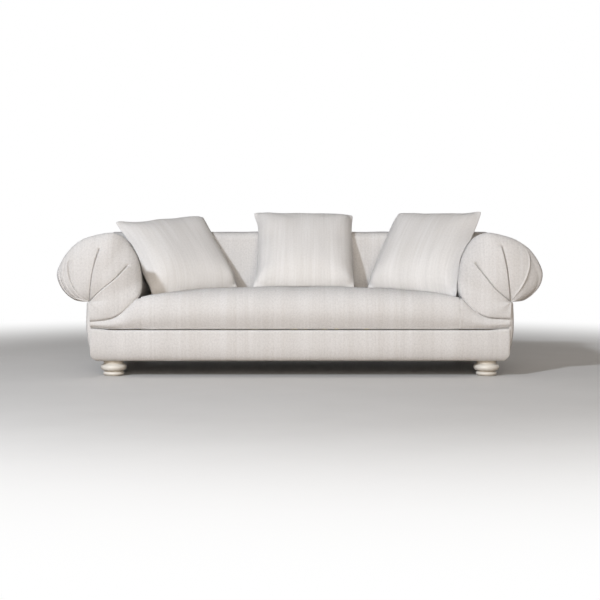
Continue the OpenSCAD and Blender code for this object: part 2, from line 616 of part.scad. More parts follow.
// Share from -1 to 1 across a cushion, closer together near its sewn edges
function spread(i, n) = sin(90 * (2 * i / n - 1)) * 0.35 + (2 * i / n - 1) * 0.65;
function swell(a, b, full) = pow(max(0, (1 - a * a) * (1 - b * b)), full);
function cushion_point(c, size, thick, a, b, side) =
    let (ax = cushion_axes(c), w = size / 2,
        x = w * a * (1 - edge_in * (1 - pow(b, ear_power))),
        y = w * b * (1 - edge_in * (1 - pow(a, ear_power))) + w,
        s = size / cushion_w, reach = max(0, (c[7] * a * s + 0.2) / 1.2), high = (b * s + 1) / 2,
        curl = c[6] * pow(reach, 2) * pow(sin(180 * pow(high, 0.65)), 1.5),
        d = curl + thick * swell(a, b, 0.42) * (side > 0 ? 1 - back_fill : -back_fill))
    [c[0], c[1], c[2]] + ax[0] * x + ax[1] * y + ax[2] * d;
module cushion_form(c, size, thick, n, raise) {
    front = [for (j = [0:n]) for (i = [0:n])
        cushion_point(c, size, thick, spread(i, n), spread(j, n), 1)];
    rear = [for (j = [1:n - 1]) for (i = [1:n - 1])
        cushion_point(c, size, thick, spread(i, n), spread(j, n), -1)];
    function at_front(i, j) = j * (n + 1) + i;
    function at_rear(i, j) = i == 0 || j == 0 || i == n || j == n ? at_front(i, j)
        : (n + 1) * (n + 1) + (j - 1) * (n - 1) + i - 1;
    // Each square is halved through its corner nearest the middle, so that no corner ends in a flap
    function halves(i, j) = (i < n / 2) == (j < n / 2)
        ? [[[i, j], [i + 1, j + 1], [i + 1, j]], [[i, j], [i, j + 1], [i + 1, j + 1]]]
        : [[[i, j], [i, j + 1], [i + 1, j]], [[i + 1, j], [i, j + 1], [i + 1, j + 1]]];
    cells = [for (j = [0:n - 1]) for (i = [0:n - 1]) each halves(i, j)];
    ax = cushion_axes(c);
    translate(ax[1] * raise) polyhedron(concat(front, rear), concat(
        [for (t = cells) [for (q = t) at_front(q[0], q[1])]],
        [for (t = cells) [for (k = [2:-1:0]) at_rear(t[k][0], t[k][1])]]), convexity = 4);
}
cover_t = 6;            // fabric and the wadding that lines it
insert_n = 8;
module cushion_insert_form(c, grow) {
    inner = cushion_w - 8 * cover_t + 2 * grow;
    cushion_form(c, inner, cushion_t - 4 * cover_t + 2 * grow, insert_n, (cushion_w - inner) / 2);
}
// The cover's closing lies along its bottom edge, and opens into the room for the insert
closing_share = 0.45;
closing_t = 1.2;
module cushion_closing(c) {
    ax = cushion_axes(c);
    w = cushion_w * closing_share;
    multmatrix([for (k = [0:2]) [ax[0][k], ax[1][k], ax[2][k], c[k]]])
        translate([-c[7] * w / 3, 0, 0])
            slab(-w / 2, w / 2, -cut, cushion_w / 6, -closing_t / 2, closing_t / 2);
}
module cushion_cover(c) {
    color(fabric_col) difference() {
        cushion_form(c, cushion_w, cushion_t, cushion_n, 0);
        cushion_insert_form(c, snug);
        cushion_closing(c);
    }
}
module cushion_insert(c) {
    color(felt_col) cushion_insert_form(c, 0);
}

translate([-foot_x, foot_y0, 0]) foot();  // foot_front_left
translate([foot_x, foot_y0, 0]) foot();  // foot_front_right
translate([-foot_x, foot_y1, 0]) foot();  // foot_rear_left
translate([foot_x, foot_y1, 0]) foot();  // foot_rear_right
foot_glides();
foot_bolts();
tee_nuts();
cross_rail(rail_front);  // front_rail
cross_rail(rail_back - rail_t);  // back_rail
mirror([1, 0, 0]) side_rail();  // side_rail_left
side_rail();  // side_rail_right
seat_stretchers();
corner_blocks();
corner_screws();
mirror([1, 0, 0]) arm_board(board_front_y);  // arm_front_board_left
arm_board(board_front_y);  // arm_front_board_right
mirror([1, 0, 0]) arm_board(board_rear_y);  // arm_rear_board_left
arm_board(board_rear_y);  // arm_rear_board_right
mirror([1, 0, 0]) arm_slats();  // arm_slats_left
arm_slats();  // arm_slats_right
arm_bolts();
back_end_posts();
back_uprights();
back_top_rail();
back_tack_rail();
seat_webbing();
back_webbing();
seat_insulator();
seat_foam();
back_foam();
seat_cover();
mirror([1, 0, 0]) arm_cover();  // arm_cover_left
arm_cover();  // arm_cover_right
mirror([1, 0, 0]) arm_facing();  // arm_facing_left
arm_facing();  // arm_facing_right
back_cover();
outside_back();
mirror([1, 0, 0]) outside_arm();  // outside_arm_left
outside_arm();  // outside_arm_right
front_border();
dust_cover();
cushion_cover(cushion_places[0]);  // cushion_cover_left
cushion_cover(cushion_places[1]);  // cushion_cover_centre
cushion_cover(cushion_places[2]);  // cushion_cover_right
cushion_insert(cushion_places[0]);  // cushion_insert_left
cushion_insert(cushion_places[1]);  // cushion_insert_centre
cushion_insert(cushion_places[2]);  // cushion_insert_right
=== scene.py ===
# %% [markdown]
# A three-seat sofa with pleated scroll arms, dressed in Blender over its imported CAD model.
# The rigid pieces stay as they are and get finishes. The upholstery is remade here with finer
# surfaces, because a computer-aided solid with a thousand faces can't show a pleat or a soft
# roll.

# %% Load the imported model
import math

import bpy
import numpy as np
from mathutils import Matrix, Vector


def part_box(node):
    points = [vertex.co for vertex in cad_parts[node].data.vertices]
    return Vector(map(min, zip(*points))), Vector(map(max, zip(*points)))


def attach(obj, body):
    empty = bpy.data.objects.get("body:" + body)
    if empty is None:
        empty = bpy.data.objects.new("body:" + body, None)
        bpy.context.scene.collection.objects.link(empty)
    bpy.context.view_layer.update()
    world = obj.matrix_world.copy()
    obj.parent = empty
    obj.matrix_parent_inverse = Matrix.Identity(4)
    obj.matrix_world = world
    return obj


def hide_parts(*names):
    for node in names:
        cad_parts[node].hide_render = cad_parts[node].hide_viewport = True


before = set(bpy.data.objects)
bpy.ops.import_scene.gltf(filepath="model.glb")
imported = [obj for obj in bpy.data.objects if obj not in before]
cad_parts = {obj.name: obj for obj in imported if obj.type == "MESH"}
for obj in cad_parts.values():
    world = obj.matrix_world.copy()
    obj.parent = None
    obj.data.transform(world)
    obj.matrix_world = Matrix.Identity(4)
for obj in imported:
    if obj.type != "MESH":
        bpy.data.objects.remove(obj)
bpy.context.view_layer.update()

# %% [markdown]
# The main sizes come first, in metres, measured from the photograph and shared with the CAD.
# The floor is z = 0, the sofa faces -Y, and x = 0 is its middle.

# %% Sizes shared by the pieces
HALF_DEPTH = 0.520
BASE_HALF = 1.077       # side panel, from the middle
CORNER = 1.0575         # the seam at each front corner
CORNER_OUT = 0.054      # how far that seam stands in front of the arm's front edge
TUCK = np.array([1.0620, 0.378])
ROLL_MIDDLE = np.array([1.0170, 0.5325])
ARM_FRONT_Y = -0.451    # plane of the arm's front edge, before its dome
ARM_REAR_Y = 0.309
BACK_FRONT_Y = 0.320
BACK_FOOT = 0.246
BACK_TOP = 0.731
BACK_ROLL = 0.046       # radius of the back's top edge in front
BACK_RAKE = 0.048       # how far the back's foot stands in front of its top
RAKE_POWER = 1.3
SEAT_BOTTOM = 0.2403
SEAT_TOP = 0.451
SEAT_HALF = 0.8025
SEAT_NOSE = 0.130       # depth of the roll at the seat's front
SEAT_FALL = 0.026       # how far the seat's top falls to the rear
SEAT_REAR_Y = 0.269
SEAT_EDGE = 0.012       # radius of its rear edge
BORDER_Z = 0.0785
BORDER_TOP = 0.2385
SIDES = (("left", -1), ("right", 1))
print("seat top", SEAT_TOP, "back top", BACK_TOP)

# %% [markdown]
# Every soft piece but the loose cushions is a skin: a row of closed rings of points, joined by
# four-sided faces and closed at both ends. A skin is quick to compute as one array, its rings
# can follow any section, and its texture map can run in real metres along the cloth, so that
# the weave has the same size everywhere.

# %% Smooth lines and shares
def smooth_line(points, at):
    """Catmull-Rom curve: between two points it is the cubic that leaves each of them in the
    direction of the chord between its neighbours. at counts in points."""
    p, at = np.asarray(points, float), np.asarray(at, float)
    last = len(p) - 1
    i = np.clip(np.floor(at).astype(int), 0, last - 1)
    t = (at - i)[:, None]
    a, b, c, d = p[np.maximum(i - 1, 0)], p[i], p[i + 1], p[np.minimum(i + 2, last)]
    return 0.5 * (2 * b + (c - a) * t + (2 * a - 5 * b + 4 * c - d) * t ** 2
                  + (3 * b - a - 3 * c + d) * t ** 3)


def rise(t):
    """Goes from 0 to 1 as t does, level at both ends: 3t^2 - 2t^3."""
    t = np.clip(t, 0, 1)
    return t * t * (3 - 2 * t)


def dense_ends(n, pull=0.6):
    """n + 1 shares from 0 to 1, closer together near both ends: even steps mixed with the
    steps of half a cosine, by the share pull."""
    t = np.linspace(0, 1, n + 1)
    return (1 - pull) * t + pull * (1 - np.cos(np.pi * t)) / 2


def ripple(x, y, size, seed):
    """A calm uneven surface between about -1 and 1: a sum of six plane waves of that length in
    fixed directions, with fixed phases drawn from the seed."""
    rng = np.random.default_rng(seed)
    turn, phase = rng.uniform(0, 2 * np.pi, 6), rng.uniform(0, 2 * np.pi, 6)
    stretch = rng.uniform(0.7, 1.5, 6)
    waves = [np.sin(2 * np.pi * k / size * (np.cos(a) * x + np.sin(a) * y) + p)
             for a, p, k in zip(turn, phase, stretch)]
    return sum(waves) / 3.2


print("helpers ready")

# %% Rings and grids
def with_first(rings):
    """Rings, or the numbers of their points, with each ring's first entry again at its end."""
    return np.concatenate([rings, rings[:, :1]], 1)


def run_length(points):
    """Distance along every row of a grid of points, from the row's first point."""
    step = np.linalg.norm(np.diff(points, axis=1), axis=2)
    return np.pad(np.cumsum(step, axis=1), [(0, 0), (1, 0)])


def quads_of(grid):
    """The four corners of every cell of a grid, in their order round the cell."""
    corners = [grid[:-1, :-1], grid[1:, :-1], grid[1:, 1:], grid[:-1, 1:]]
    return np.stack(corners, 2).reshape(-1, 4, *grid.shape[2:])


def joined(*parts):
    """Two coordinates of a row of sections, each put together from its parts. A part is a pair
    of arrays that are first made equally large."""
    full = [np.broadcast_arrays(*part) for part in parts]
    return [np.concatenate([part[k] for part in full], 1) for k in (0, 1)]


# The corners of a four-sided face in the order that turns it over
TURNED_OVER = (0, 3, 2, 1)
print("grids ready")

# %% The skin builder
def placed(name, data):
    """A new object of that name in the scene."""
    obj = bpy.data.objects.new(name, data)
    bpy.context.scene.collection.objects.link(obj)
    return obj


def new_object(name, verts, faces, corner_uv, sharp=55):
    """Puts arrays of points and faces into a mesh whose faces point outwards: the sum of the
    volumes between each face and the origin is positive when they do."""
    mesh = bpy.data.meshes.new(name)
    mesh.from_pydata(verts.tolist(), [], [tuple(f) for f in faces])
    tri = [(f[0], f[k], f[k + 1]) for f in faces for k in range(1, len(f) - 1)]
    tri = verts[np.array(tri)]
    if np.einsum("ij,ij->i", tri[:, 0], np.cross(tri[:, 1], tri[:, 2])).sum() < 0:
        mesh.flip_normals()
        corner_uv = flipped(faces, corner_uv)
    layer = mesh.uv_layers.new(name="weave")
    layer.data.foreach_set("uv", np.asarray(corner_uv, np.float32).ravel())
    mesh.polygons.foreach_set("use_smooth", np.ones(len(mesh.polygons), bool))
    mesh.set_sharp_from_angle(angle=math.radians(sharp))
    return placed(name, mesh)


def flipped(faces, corner_uv):
    """The map's corners in the order that turned-over faces have: the first corner stays and
    the others run backwards."""
    sizes = np.array([len(f) for f in faces])
    start = np.repeat(np.cumsum(sizes) - sizes, sizes)
    k = np.arange(sizes.sum()) - start
    size = np.repeat(sizes, sizes)
    return corner_uv[start + (size - k) % size]


def skin(name, rings, weave, sharp=55):
    """Joins n closed rings of m points by n - 1 bands of four-sided faces, and closes each end
    with a fan to the middle of its ring. weave has m + 1 columns, so the cloth's map doesn't
    run backwards where a ring closes."""
    n, m = rings.shape[:2]
    quads = quads_of(with_first(np.arange(n * m).reshape(n, m)))[:, TURNED_OVER]
    quad_uv = quads_of(weave)[:, TURNED_OVER]
    e = np.arange(m)
    f = (e + 1) % m
    low = np.stack([np.full(m, n * m), f, e], 1)
    high = np.stack([np.full(m, n * m + 1), (n - 1) * m + e, (n - 1) * m + f], 1)
    mid0, mid1 = weave[0, :m].mean(0), weave[-1, :m].mean(0)
    low_uv = np.stack([np.tile(mid0, (m, 1)), weave[0, e + 1], weave[0, e]], 1)
    high_uv = np.stack([np.tile(mid1, (m, 1)), weave[-1, e], weave[-1, e + 1]], 1)
    verts = np.concatenate([rings.reshape(-1, 3), [rings[0].mean(0)], [rings[-1].mean(0)]])
    faces = quads.tolist() + low.tolist() + high.tolist()
    uv = np.concatenate([part.reshape(-1, 2) for part in (quad_uv, low_uv, high_uv)])
    return new_object(name, verts, faces, uv, sharp)


def cloth_map(rings, across):
    """The cloth's map in metres: across is the place across the cloth of each ring, and the
    other direction is the length that the cloth runs round the ring."""
    along = run_length(with_first(rings))
    return np.stack([np.broadcast_to(across, along.shape), along], 2)


def dress(obj, material, node, body="sofa"):
    """Gives a padded piece its finish and its body, and hides the CAD node that it stands for."""
    obj.data.materials.append(material)
    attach(obj, body)
    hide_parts(node)
    print(obj.name, len(obj.data.vertices), "points", [round(v, 3) for v in obj.dimensions])


print("skin builder ready")

# %% [markdown]
# The cover is a heavy off-white cloth. Its yarns vary in thickness, which draws soft stripes
# along the cloth, a little warmer or cooler than the rest. The map "weave" runs in metres, so
# the stripes follow the cloth over every bend. The weave itself is two crossed sine waves with
# noise. It is too fine for the mesh, so it is a bump, with painted shade in its low places.
# The clefts of the arms' pleats get painted shade as well.

# %% Node helpers
def adder(tree):
    """Empties a node tree, and returns a function that adds a node to it. What that function
    is told by name is a setting or an input of the node: in3 is the input at place 3, and
    Base_Color is the input called Base Color. A colour has three shares."""
    tree.nodes.clear()

    def add(kind, **inputs):
        node = tree.nodes.new("ShaderNode" + kind)
        for key, value in inputs.items():
            if hasattr(node, key):
                setattr(node, key, value)
                continue
            socket = node.inputs[int(key[2:]) if key.startswith("in") else key.replace("_", " ")]
            if isinstance(value, bpy.types.NodeSocket):
                tree.links.new(value, socket)
            else:
                socket.default_value = (*value, 1.0) if socket.type == "RGBA" else value
        return node

    return add


def new_material(name):
    """An empty node material, and the function that adds nodes to it."""
    mat = bpy.data.materials.new(name)
    mat.use_nodes = True
    return mat, adder(mat.node_tree)


def surface(add, **inputs):
    """Adds the surface shader with these inputs, and leads it to the material's output."""
    add("OutputMaterial", in0=add("BsdfPrincipled", **inputs).outputs[0])


def math_node(add, operation, a, b=0.0):
    """One sum or function of two numbers."""
    return add("Math", operation=operation, in0=a, in1=b).outputs[0]


def weighted_sum(add, *parts):
    """The sum of several values, each times its weight."""
    terms = [math_node(add, "MULTIPLY", value, weight) for value, weight in parts]
    total = terms.pop()
    while terms:
        total = math_node(add, "ADD", terms.pop(), total)
    return total


def ranged(add, value, low, high, first=0.0, last=1.0, **more):
    """Goes evenly from first to last as the value goes from low to high, and stays there
    beyond them."""
    node = add("MapRange", in0=value, in1=low, in2=high, in3=first, in4=last, **more)
    return node.outputs[0]


def blend_colour(add, factor, a, b, way="MIX"):
    """A mix of two colours by a factor from 0 to 1."""
    node = add("Mix", data_type="RGBA", blend_type=way, in0=factor, in6=a, in7=b)
    return node.outputs[2]


def bumped(add, height, strength, distance):
    """Normals of a surface with this relief, distance metres deep."""
    return add("Bump", Strength=strength, Distance=distance, Height=height).outputs[0]


print("node helpers ready")

# %% The cloth
def cloth_material(name, light, warm, cool, stripe, grain, pitch=0.0032):
    """A woven cloth on the map "weave". stripe is how strongly the uneven yarns show, grain
    how strongly its nubs show, in relief and in the painted shade of their low places, and pitch
    the length of one wave of the weave."""
    mat, add = new_material(name)
    split = add("SeparateXYZ", in0=add("UVMap", uv_map="weave").outputs[0])
    u, v = split.outputs[0], split.outputs[1]

    def noise(scale_u, scale_v, detail, offset=0.0):
        spot = add("CombineXYZ", in0=math_node(add, "MULTIPLY", u, scale_u),
                   in1=math_node(add, "MULTIPLY", v, scale_v), in2=offset).outputs[0]
        return add("TexNoise", Vector=spot, Scale=1.0, Detail=detail, Roughness=0.55).outputs[0]

    broad, narrow = noise(14.0, 1.2, 2.0), noise(75.0, 3.0, 2.0, 7.0)
    stripes = ranged(add, weighted_sum(add, (broad, 0.6), (narrow, 0.4)), 0.40, 0.60)
    tone = blend_colour(add, math_node(add, "MULTIPLY", stripes, stripe), light, warm)
    patch = ranged(add, noise(4.0, 3.0, 2.0, 3.0), 0.35, 0.70, 0.0, 0.55)
    tone = blend_colour(add, math_node(add, "MULTIPLY", patch, stripes), tone, cool)

    # The height of the cloth: crossed yarns, small nubs on them and clumps of nubs
    wobble = noise(160.0, 160.0, 1.0, 11.0)
    yarns = [math_node(add, "SINE", weighted_sum(add, (way, 2 * math.pi / pitch), (wobble, 5.0)))
             for way in (u, v)]
    weave = math_node(add, "MULTIPLY", *yarns)
    nubs, clumps = noise(420.0, 420.0, 3.0, 5.0), noise(110.0, 90.0, 3.0, 9.0)
    height = weighted_sum(add, (weave, 0.22), (nubs, 1.0), (clumps, 1.1))

    # Painted shade: low places of the weave a little darker, its tops a little lighter, and the
    # pleats' clefts much darker
    valley_shade = ranged(add, height, 0.70, 1.20, 1 - 0.10 * grain, 1 + 0.03 * grain)
    shade = add("CombineColor", in0=valley_shade, in1=valley_shade, in2=valley_shade).outputs[0]
    woven = blend_colour(add, 1.0, tone, shade, "MULTIPLY")
    # Painted shade in the pleats' clefts: the arms' fold attribute darkens the colour there
    fold = add("Attribute", attribute_name="fold").outputs["Fac"]
    cleft_shaded = blend_colour(add, math_node(add, "MULTIPLY", fold, 0.42), woven, (0.16, 0.14, 0.12))
    surface(add, Base_Color=cleft_shaded, Normal=bumped(add, height, 0.75, 0.0010 * grain),
            Roughness=0.92, Specular_IOR_Level=0.18, Sheen_Weight=0.04, Sheen_Roughness=0.45)
    return mat


cover_cloth = cloth_material("cover_cloth", (0.780, 0.773, 0.764), (0.715, 0.699, 0.678),
                             (0.730, 0.732, 0.734), stripe=0.85, grain=1.25)
cushion_cloth = cloth_material("cushion_cloth", (0.840, 0.830, 0.815), (0.775, 0.758, 0.732),
                               (0.770, 0.770, 0.768), stripe=1.0, grain=0.6)
print("cloth ready")

# %% [markdown]
# The rigid parts and the hidden ones keep their CAD shapes and get plain workshop finishes:
# hardwood, plywood with its layers, webbing, foam, felt and steel. Each is noise on object
# coordinates, because a CAD node has no texture map. Timber needs the noise drawn out along
# its grain, and the other finishes look the same in all directions.

# %% Finishes of the frame
def grained(name, dark, light, along, layers=None):
    """Timber: noise drawn out along one axis. Plywood's layers are a sine wave across the
    board, that many radians to the metre."""
    mat, add = new_material(name)
    spot = add("TexCoord").outputs["Object"]
    fine, drawn_out = 38.0, 0.08
    stretch = [fine * drawn_out if k == along else fine for k in range(3)]
    grain = add("Mapping", Vector=spot, Scale=stretch).outputs[0]
    streak = add("TexNoise", Vector=grain, Scale=1.0, Detail=5.0, Roughness=0.6,
                 Distortion=0.4).outputs[0]
    tone = blend_colour(add, ranged(add, streak, 0.35, 0.68), dark, light)
    if layers:
        across = add("SeparateXYZ", in0=spot).outputs[1]
        wave = math_node(add, "SINE", math_node(add, "MULTIPLY", across, layers))
        tone = blend_colour(add, ranged(add, wave, 0.0, 0.5, 0.0, 0.45), tone,
                            [0.6 * share for share in dark])
    surface(add, Base_Color=tone, Normal=bumped(add, streak, 0.4, 0.0006), Roughness=0.6)
    return mat


def speckled(name, dark, light, scale, rough, bump, metallic=0.0, cells=False):
    """A finish that is the same in all directions: noise, or round cells."""
    mat, add = new_material(name)
    spot = add("TexCoord").outputs["Object"]
    if cells:
        spots = add("TexVoronoi", Vector=spot, Scale=scale).outputs[0]
    else:
        spots = add("TexNoise", Vector=spot, Scale=scale, Detail=4.0, Roughness=0.6).outputs[0]
    tone = blend_colour(add, ranged(add, spots, 0.3, 0.7), dark, light)
    surface(add, Base_Color=tone, Normal=bumped(add, spots, 0.5, bump), Roughness=rough,
            Metallic=metallic)
    return mat


hardwood = grained("hardwood", (0.36, 0.22, 0.12), (0.55, 0.38, 0.22), along=0)
plywood = grained("plywood", (0.50, 0.36, 0.21), (0.66, 0.51, 0.33), along=2, layers=4200.0)
steel = speckled("zinc_steel", (0.42, 0.43, 0.45), (0.60, 0.61, 0.63), 220.0, 0.35, 0.0001,
                 metallic=1.0)
webbing = speckled("jute_webbing", (0.30, 0.22, 0.13), (0.46, 0.36, 0.23), 420.0, 0.9, 0.0008)
foam = speckled("seat_foam", (0.70, 0.62, 0.40), (0.80, 0.73, 0.52), 650.0, 0.95, 0.0006,
                cells=True)
felt = speckled("wadding_felt", (0.24, 0.23, 0.22), (0.42, 0.41, 0.39), 380.0, 0.95, 0.0008)
ticking = speckled("insert_ticking", (0.72, 0.69, 0.62), (0.80, 0.78, 0.72), 700.0, 0.85, 0.0004)
glide_plastic = speckled("glide_plastic", (0.02, 0.02, 0.02), (0.05, 0.05, 0.05), 300.0, 0.5,
                         0.0001)
dust_cloth = speckled("dust_cloth", (0.010, 0.010, 0.010), (0.022, 0.022, 0.022), 500.0, 0.95,
                      0.0004)
print("frame finishes ready")

# %% [markdown]
# The turned feet are painted cream by brush, with dust left in the low groove and painted
# shade at the neck, under the base. The strokes are noise squeezed along z, so they run round
# the foot, and dust and shade are laid by height, because all four feet stand on the same floor.

# %% Cream paint on the turned feet
def painted_foot():
    """Thin rings of noise round the turning, a dusty groove and painted shade at the neck laid by
    height, and a few worn blotches.
    """
    mat, add = new_material("cream_paint")
    spot = add("TexCoord").outputs["Object"]
    turning = add("Mapping", Vector=spot, Scale=[14.0, 14.0, 260.0]).outputs[0]
    strokes = add("TexNoise", Vector=turning, Scale=1.0, Detail=4.0, Roughness=0.6).outputs[0]
    blotch = add("TexNoise", Vector=spot, Scale=38.0, Detail=4.0, Roughness=0.65).outputs[0]
    tone = blend_colour(add, ranged(add, strokes, 0.35, 0.7), (0.70, 0.67, 0.605),
                        (0.84, 0.82, 0.765))
    height = add("SeparateXYZ", in0=spot).outputs[2]
    groove = math_node(add, "MINIMUM", ranged(add, height, 0.020, 0.0245),
                       ranged(add, height, 0.0245, 0.031, 1.0, 0.0))
    # Painted shade: the neck darkens from 0.060 m up to the base, as in the base's shadow
    corners = math_node(add, "MAXIMUM", groove, ranged(add, height, 0.060, 0.074))
    dust_and_shade = math_node(add, "MULTIPLY", corners, ranged(add, blotch, 0.3, 0.6, 0.35, 0.75))
    # The groove's dust colour, laid also as painted shade at the neck
    tone = blend_colour(add, dust_and_shade, tone, (0.36, 0.29, 0.20))
    worn = ranged(add, blotch, 0.66, 0.74, 0.0, 0.35)
    tone = blend_colour(add, worn, tone, (0.50, 0.41, 0.29))
    surface(add, Base_Color=tone, Normal=bumped(add, strokes, 0.5, 0.0005), Roughness=0.42,
            Coat_Weight=0.12, Coat_Roughness=0.3)
    return mat


cream_paint = painted_foot()
print("paint ready")

# %% Finishes go onto the CAD nodes
FINISH = {
    "foot_front": cream_paint, "foot_rear": cream_paint, "foot_glides": glide_plastic,
    "foot_bolts": steel, "tee_nuts": steel, "corner_screws": steel, "arm_bolts": steel,
    "arm_front_board": plywood, "arm_rear_board": plywood, "seat_webbing": webbing,
    "back_webbing": webbing, "seat_insulator": felt, "seat_foam": foam, "back_foam": foam,
    "cushion_insert": ticking,
}


def finish_of(node_name):
    """The finish whose key starts the node's name, or hardwood."""
    return next((m for key, m in FINISH.items() if node_name.startswith(key)), hardwood)


for node_name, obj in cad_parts.items():
    if not obj.material_slots:
        obj.data.materials.append(None)
    for place in obj.material_slots:
        place.material = finish_of(node_name)
print(len(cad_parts), "CAD nodes finished")

# %% [markdown]
# One seat cover runs under both arms to the front corners, so its front is shaped like a T.
# Between the arms it is crowned: highest in the middle, lower at the arms, with a large soft
# roll at its front. Past the arms only a low strip remains, and its top follows the lower
# edge of each arm. A section from front to rear is worked out for every place across.

# %% Lower edge of an arm, which the seat follows
# Each arm's outline seen from the front, as x and z from the tuck round the roll to the seam
OUTLINE = {
    "left": np.array([
        TUCK, (1.140, 0.3862), (1.2030, 0.4400), (1.2300, 0.5120), (1.2130, 0.5690),
        (1.1740, 0.6310), (1.1220, 0.6790), (1.0650, 0.7060), (0.9650, 0.7262), (0.9084, 0.7130),
        (0.8743, 0.6820), (0.8253, 0.6010), (0.8055, 0.5110), (0.8075, 0.4200), (0.8509, 0.3661),
        (0.9361, 0.3012), (1.0560, 0.2800)]),
    "right": np.array([
        TUCK, (1.138, 0.3865), (1.2050, 0.4450), (1.2280, 0.5120), (1.2090, 0.5750),
        (1.1640, 0.6400), (1.1050, 0.6830), (1.0500, 0.7060), (0.9600, 0.7262), (0.8990, 0.7130),
        (0.8600, 0.6750), (0.8200, 0.5950), (0.8045, 0.5110), (0.8070, 0.4250), (0.8510, 0.3560),
        (0.9361, 0.3040), (1.0560, 0.2930)])}
SEAM_PLACE = 16     # number of the outline's last point, which lies on the corner seam
arm_foot = {side: smooth_line(line, np.linspace(13, SEAM_PLACE, 40))
            for side, line in OUTLINE.items()}


def lifted(x):
    """How far the bottom seam of the seat rises near the front corners."""
    return 0.009 * rise((np.abs(x) - 0.93) / 0.13)


def seat_height(x):
    """Top of the seat at its crown line for places x across: a share of the full height
    between the arms, and just under the arm's lower edge past them."""
    far = np.abs(x)
    shares = np.interp(far / SEAT_HALF, [0, 0.2, 0.32, 0.48, 0.66, 0.84, 0.95, 1.0],
                       [1, 1, 0.998, 0.976, 0.935, 0.876, 0.81, 0.765])
    between = SEAT_BOTTOM + (SEAT_TOP - SEAT_BOTTOM) * shares
    foot = [np.interp(far, arm_foot[k][:, 0], arm_foot[k][:, 1]) for k in ("left", "right")]
    under = np.minimum(np.where(x < 0, foot[0], foot[1]) + 0.003, 0.395)
    return np.where(far <= SEAT_HALF, between, under)


print("seat height in the middle", float(seat_height(np.zeros(1))[0]))

# %% Seat sections
def seat_rings(x, rear, m=(10, 34, 44, 8, 14)):
    """Closed sections in y and z at the places x, with m points on the front, the roll, the
    top, the rear edge and the underside. The front turns under at the bottom seam, bulges
    forward to its belly and rolls back over a quarter ellipse to the top, which falls gently
    to the rear. The roll is as deep as the nose, and dwindles towards the strip past the arm."""
    top = seat_height(x)[:, None]
    base = SEAT_BOTTOM + lifted(x)[:, None]
    h = top - base
    far = np.abs(x)[:, None]
    side = rise((far - SEAT_HALF) / (CORNER - SEAT_HALF))
    wide = rise(far / SEAT_HALF * 2.2 - 1.2)
    strip_nose = np.minimum(0.6 * h, 0.034)
    past_arm = 0.75 + 0.25 * rise((far - SEAT_HALF) / 0.05)
    nose = SEAT_NOSE + (strip_nose - SEAT_NOSE) * wide * past_arm
    front = -HALF_DEPTH + 0.009 * side
    belly = base + 0.42 * h
    fall = np.where(far <= SEAT_HALF, SEAT_FALL, 0.001)
    rear, r = rear[:, None], SEAT_EDGE
    a = np.linspace(0, 1, m[0])[:-1]
    low = front + 0.034 * (1 - a) ** 1.9 * (0.4 + 0.6 * h / 0.21), base + (belly - base) * a
    b = np.linspace(0, np.pi / 2, m[1])
    roll = front + nose * (1 - np.cos(b)), belly + (top - belly) * np.sin(b)
    t = np.linspace(0, 1, m[2])[1:]
    flat = front + nose + (rear - r - front - nose) * t, top - fall * t ** 0.8
    c = np.linspace(0, np.pi / 2, m[3])[1:]
    edge = rear - r + r * np.sin(c), top - fall - r * (1 - np.cos(c))
    d = np.linspace(0, 1, m[4])[1:]
    under = rear + (front + 0.03 - rear) * d, SEAT_BOTTOM
    y, z = joined(low, roll, flat, edge, under)
    return np.stack([np.broadcast_to(x[:, None], y.shape), y, z], 2)


inner_x = SEAT_HALF * (2 * dense_ends(170, 0.35) - 1)
outer_x = np.linspace(SEAT_HALF + 0.0008, CORNER - 0.0005, 34)
seat_x = np.concatenate([-outer_x[::-1], inner_x, outer_x])
seat_rear = np.where(np.abs(seat_x) <= SEAT_HALF, SEAT_REAR_Y, -0.415)
rings = seat_rings(seat_x, seat_rear)
# Tension in the cloth: long shallow hollows over the roll, and small puckers along the seam
puff = ripple(rings[..., 0], rings[..., 1] + rings[..., 2], 0.30, 4) * 0.0016
near_seam = np.exp(-(rings[..., 2] - SEAT_BOTTOM) / 0.022) * (rings[..., 1] < -0.46)
pucker = ripple(rings[..., 0], rings[..., 2] * 0.3, 0.045, 8) * 0.0014 * near_seam
rings[..., 1] -= np.where(rings[..., 1] < -0.40, pucker, 0)
rings[..., 2] += np.where(rings[..., 2] > SEAT_BOTTOM + 0.05, puff, 0)
dress(skin("seat_cover_cloth", rings, cloth_map(rings, seat_x[:, None])),
      cover_cloth, "seat_cover")

# %% [markdown]
# A scroll arm is one padded skin. Its front is a domed face that gathers in three pleats, and
# on the left arm in two faint ones more, at the tuck, the point where roll, side panel and
# front meet. The face is a fan of lines from the tuck to the outline. The pleats could be cut
# as edges of the mesh, but fades are easier as relief: each pleat is a line in the front plane,
# and a point near it rises or sinks by its distance from it.

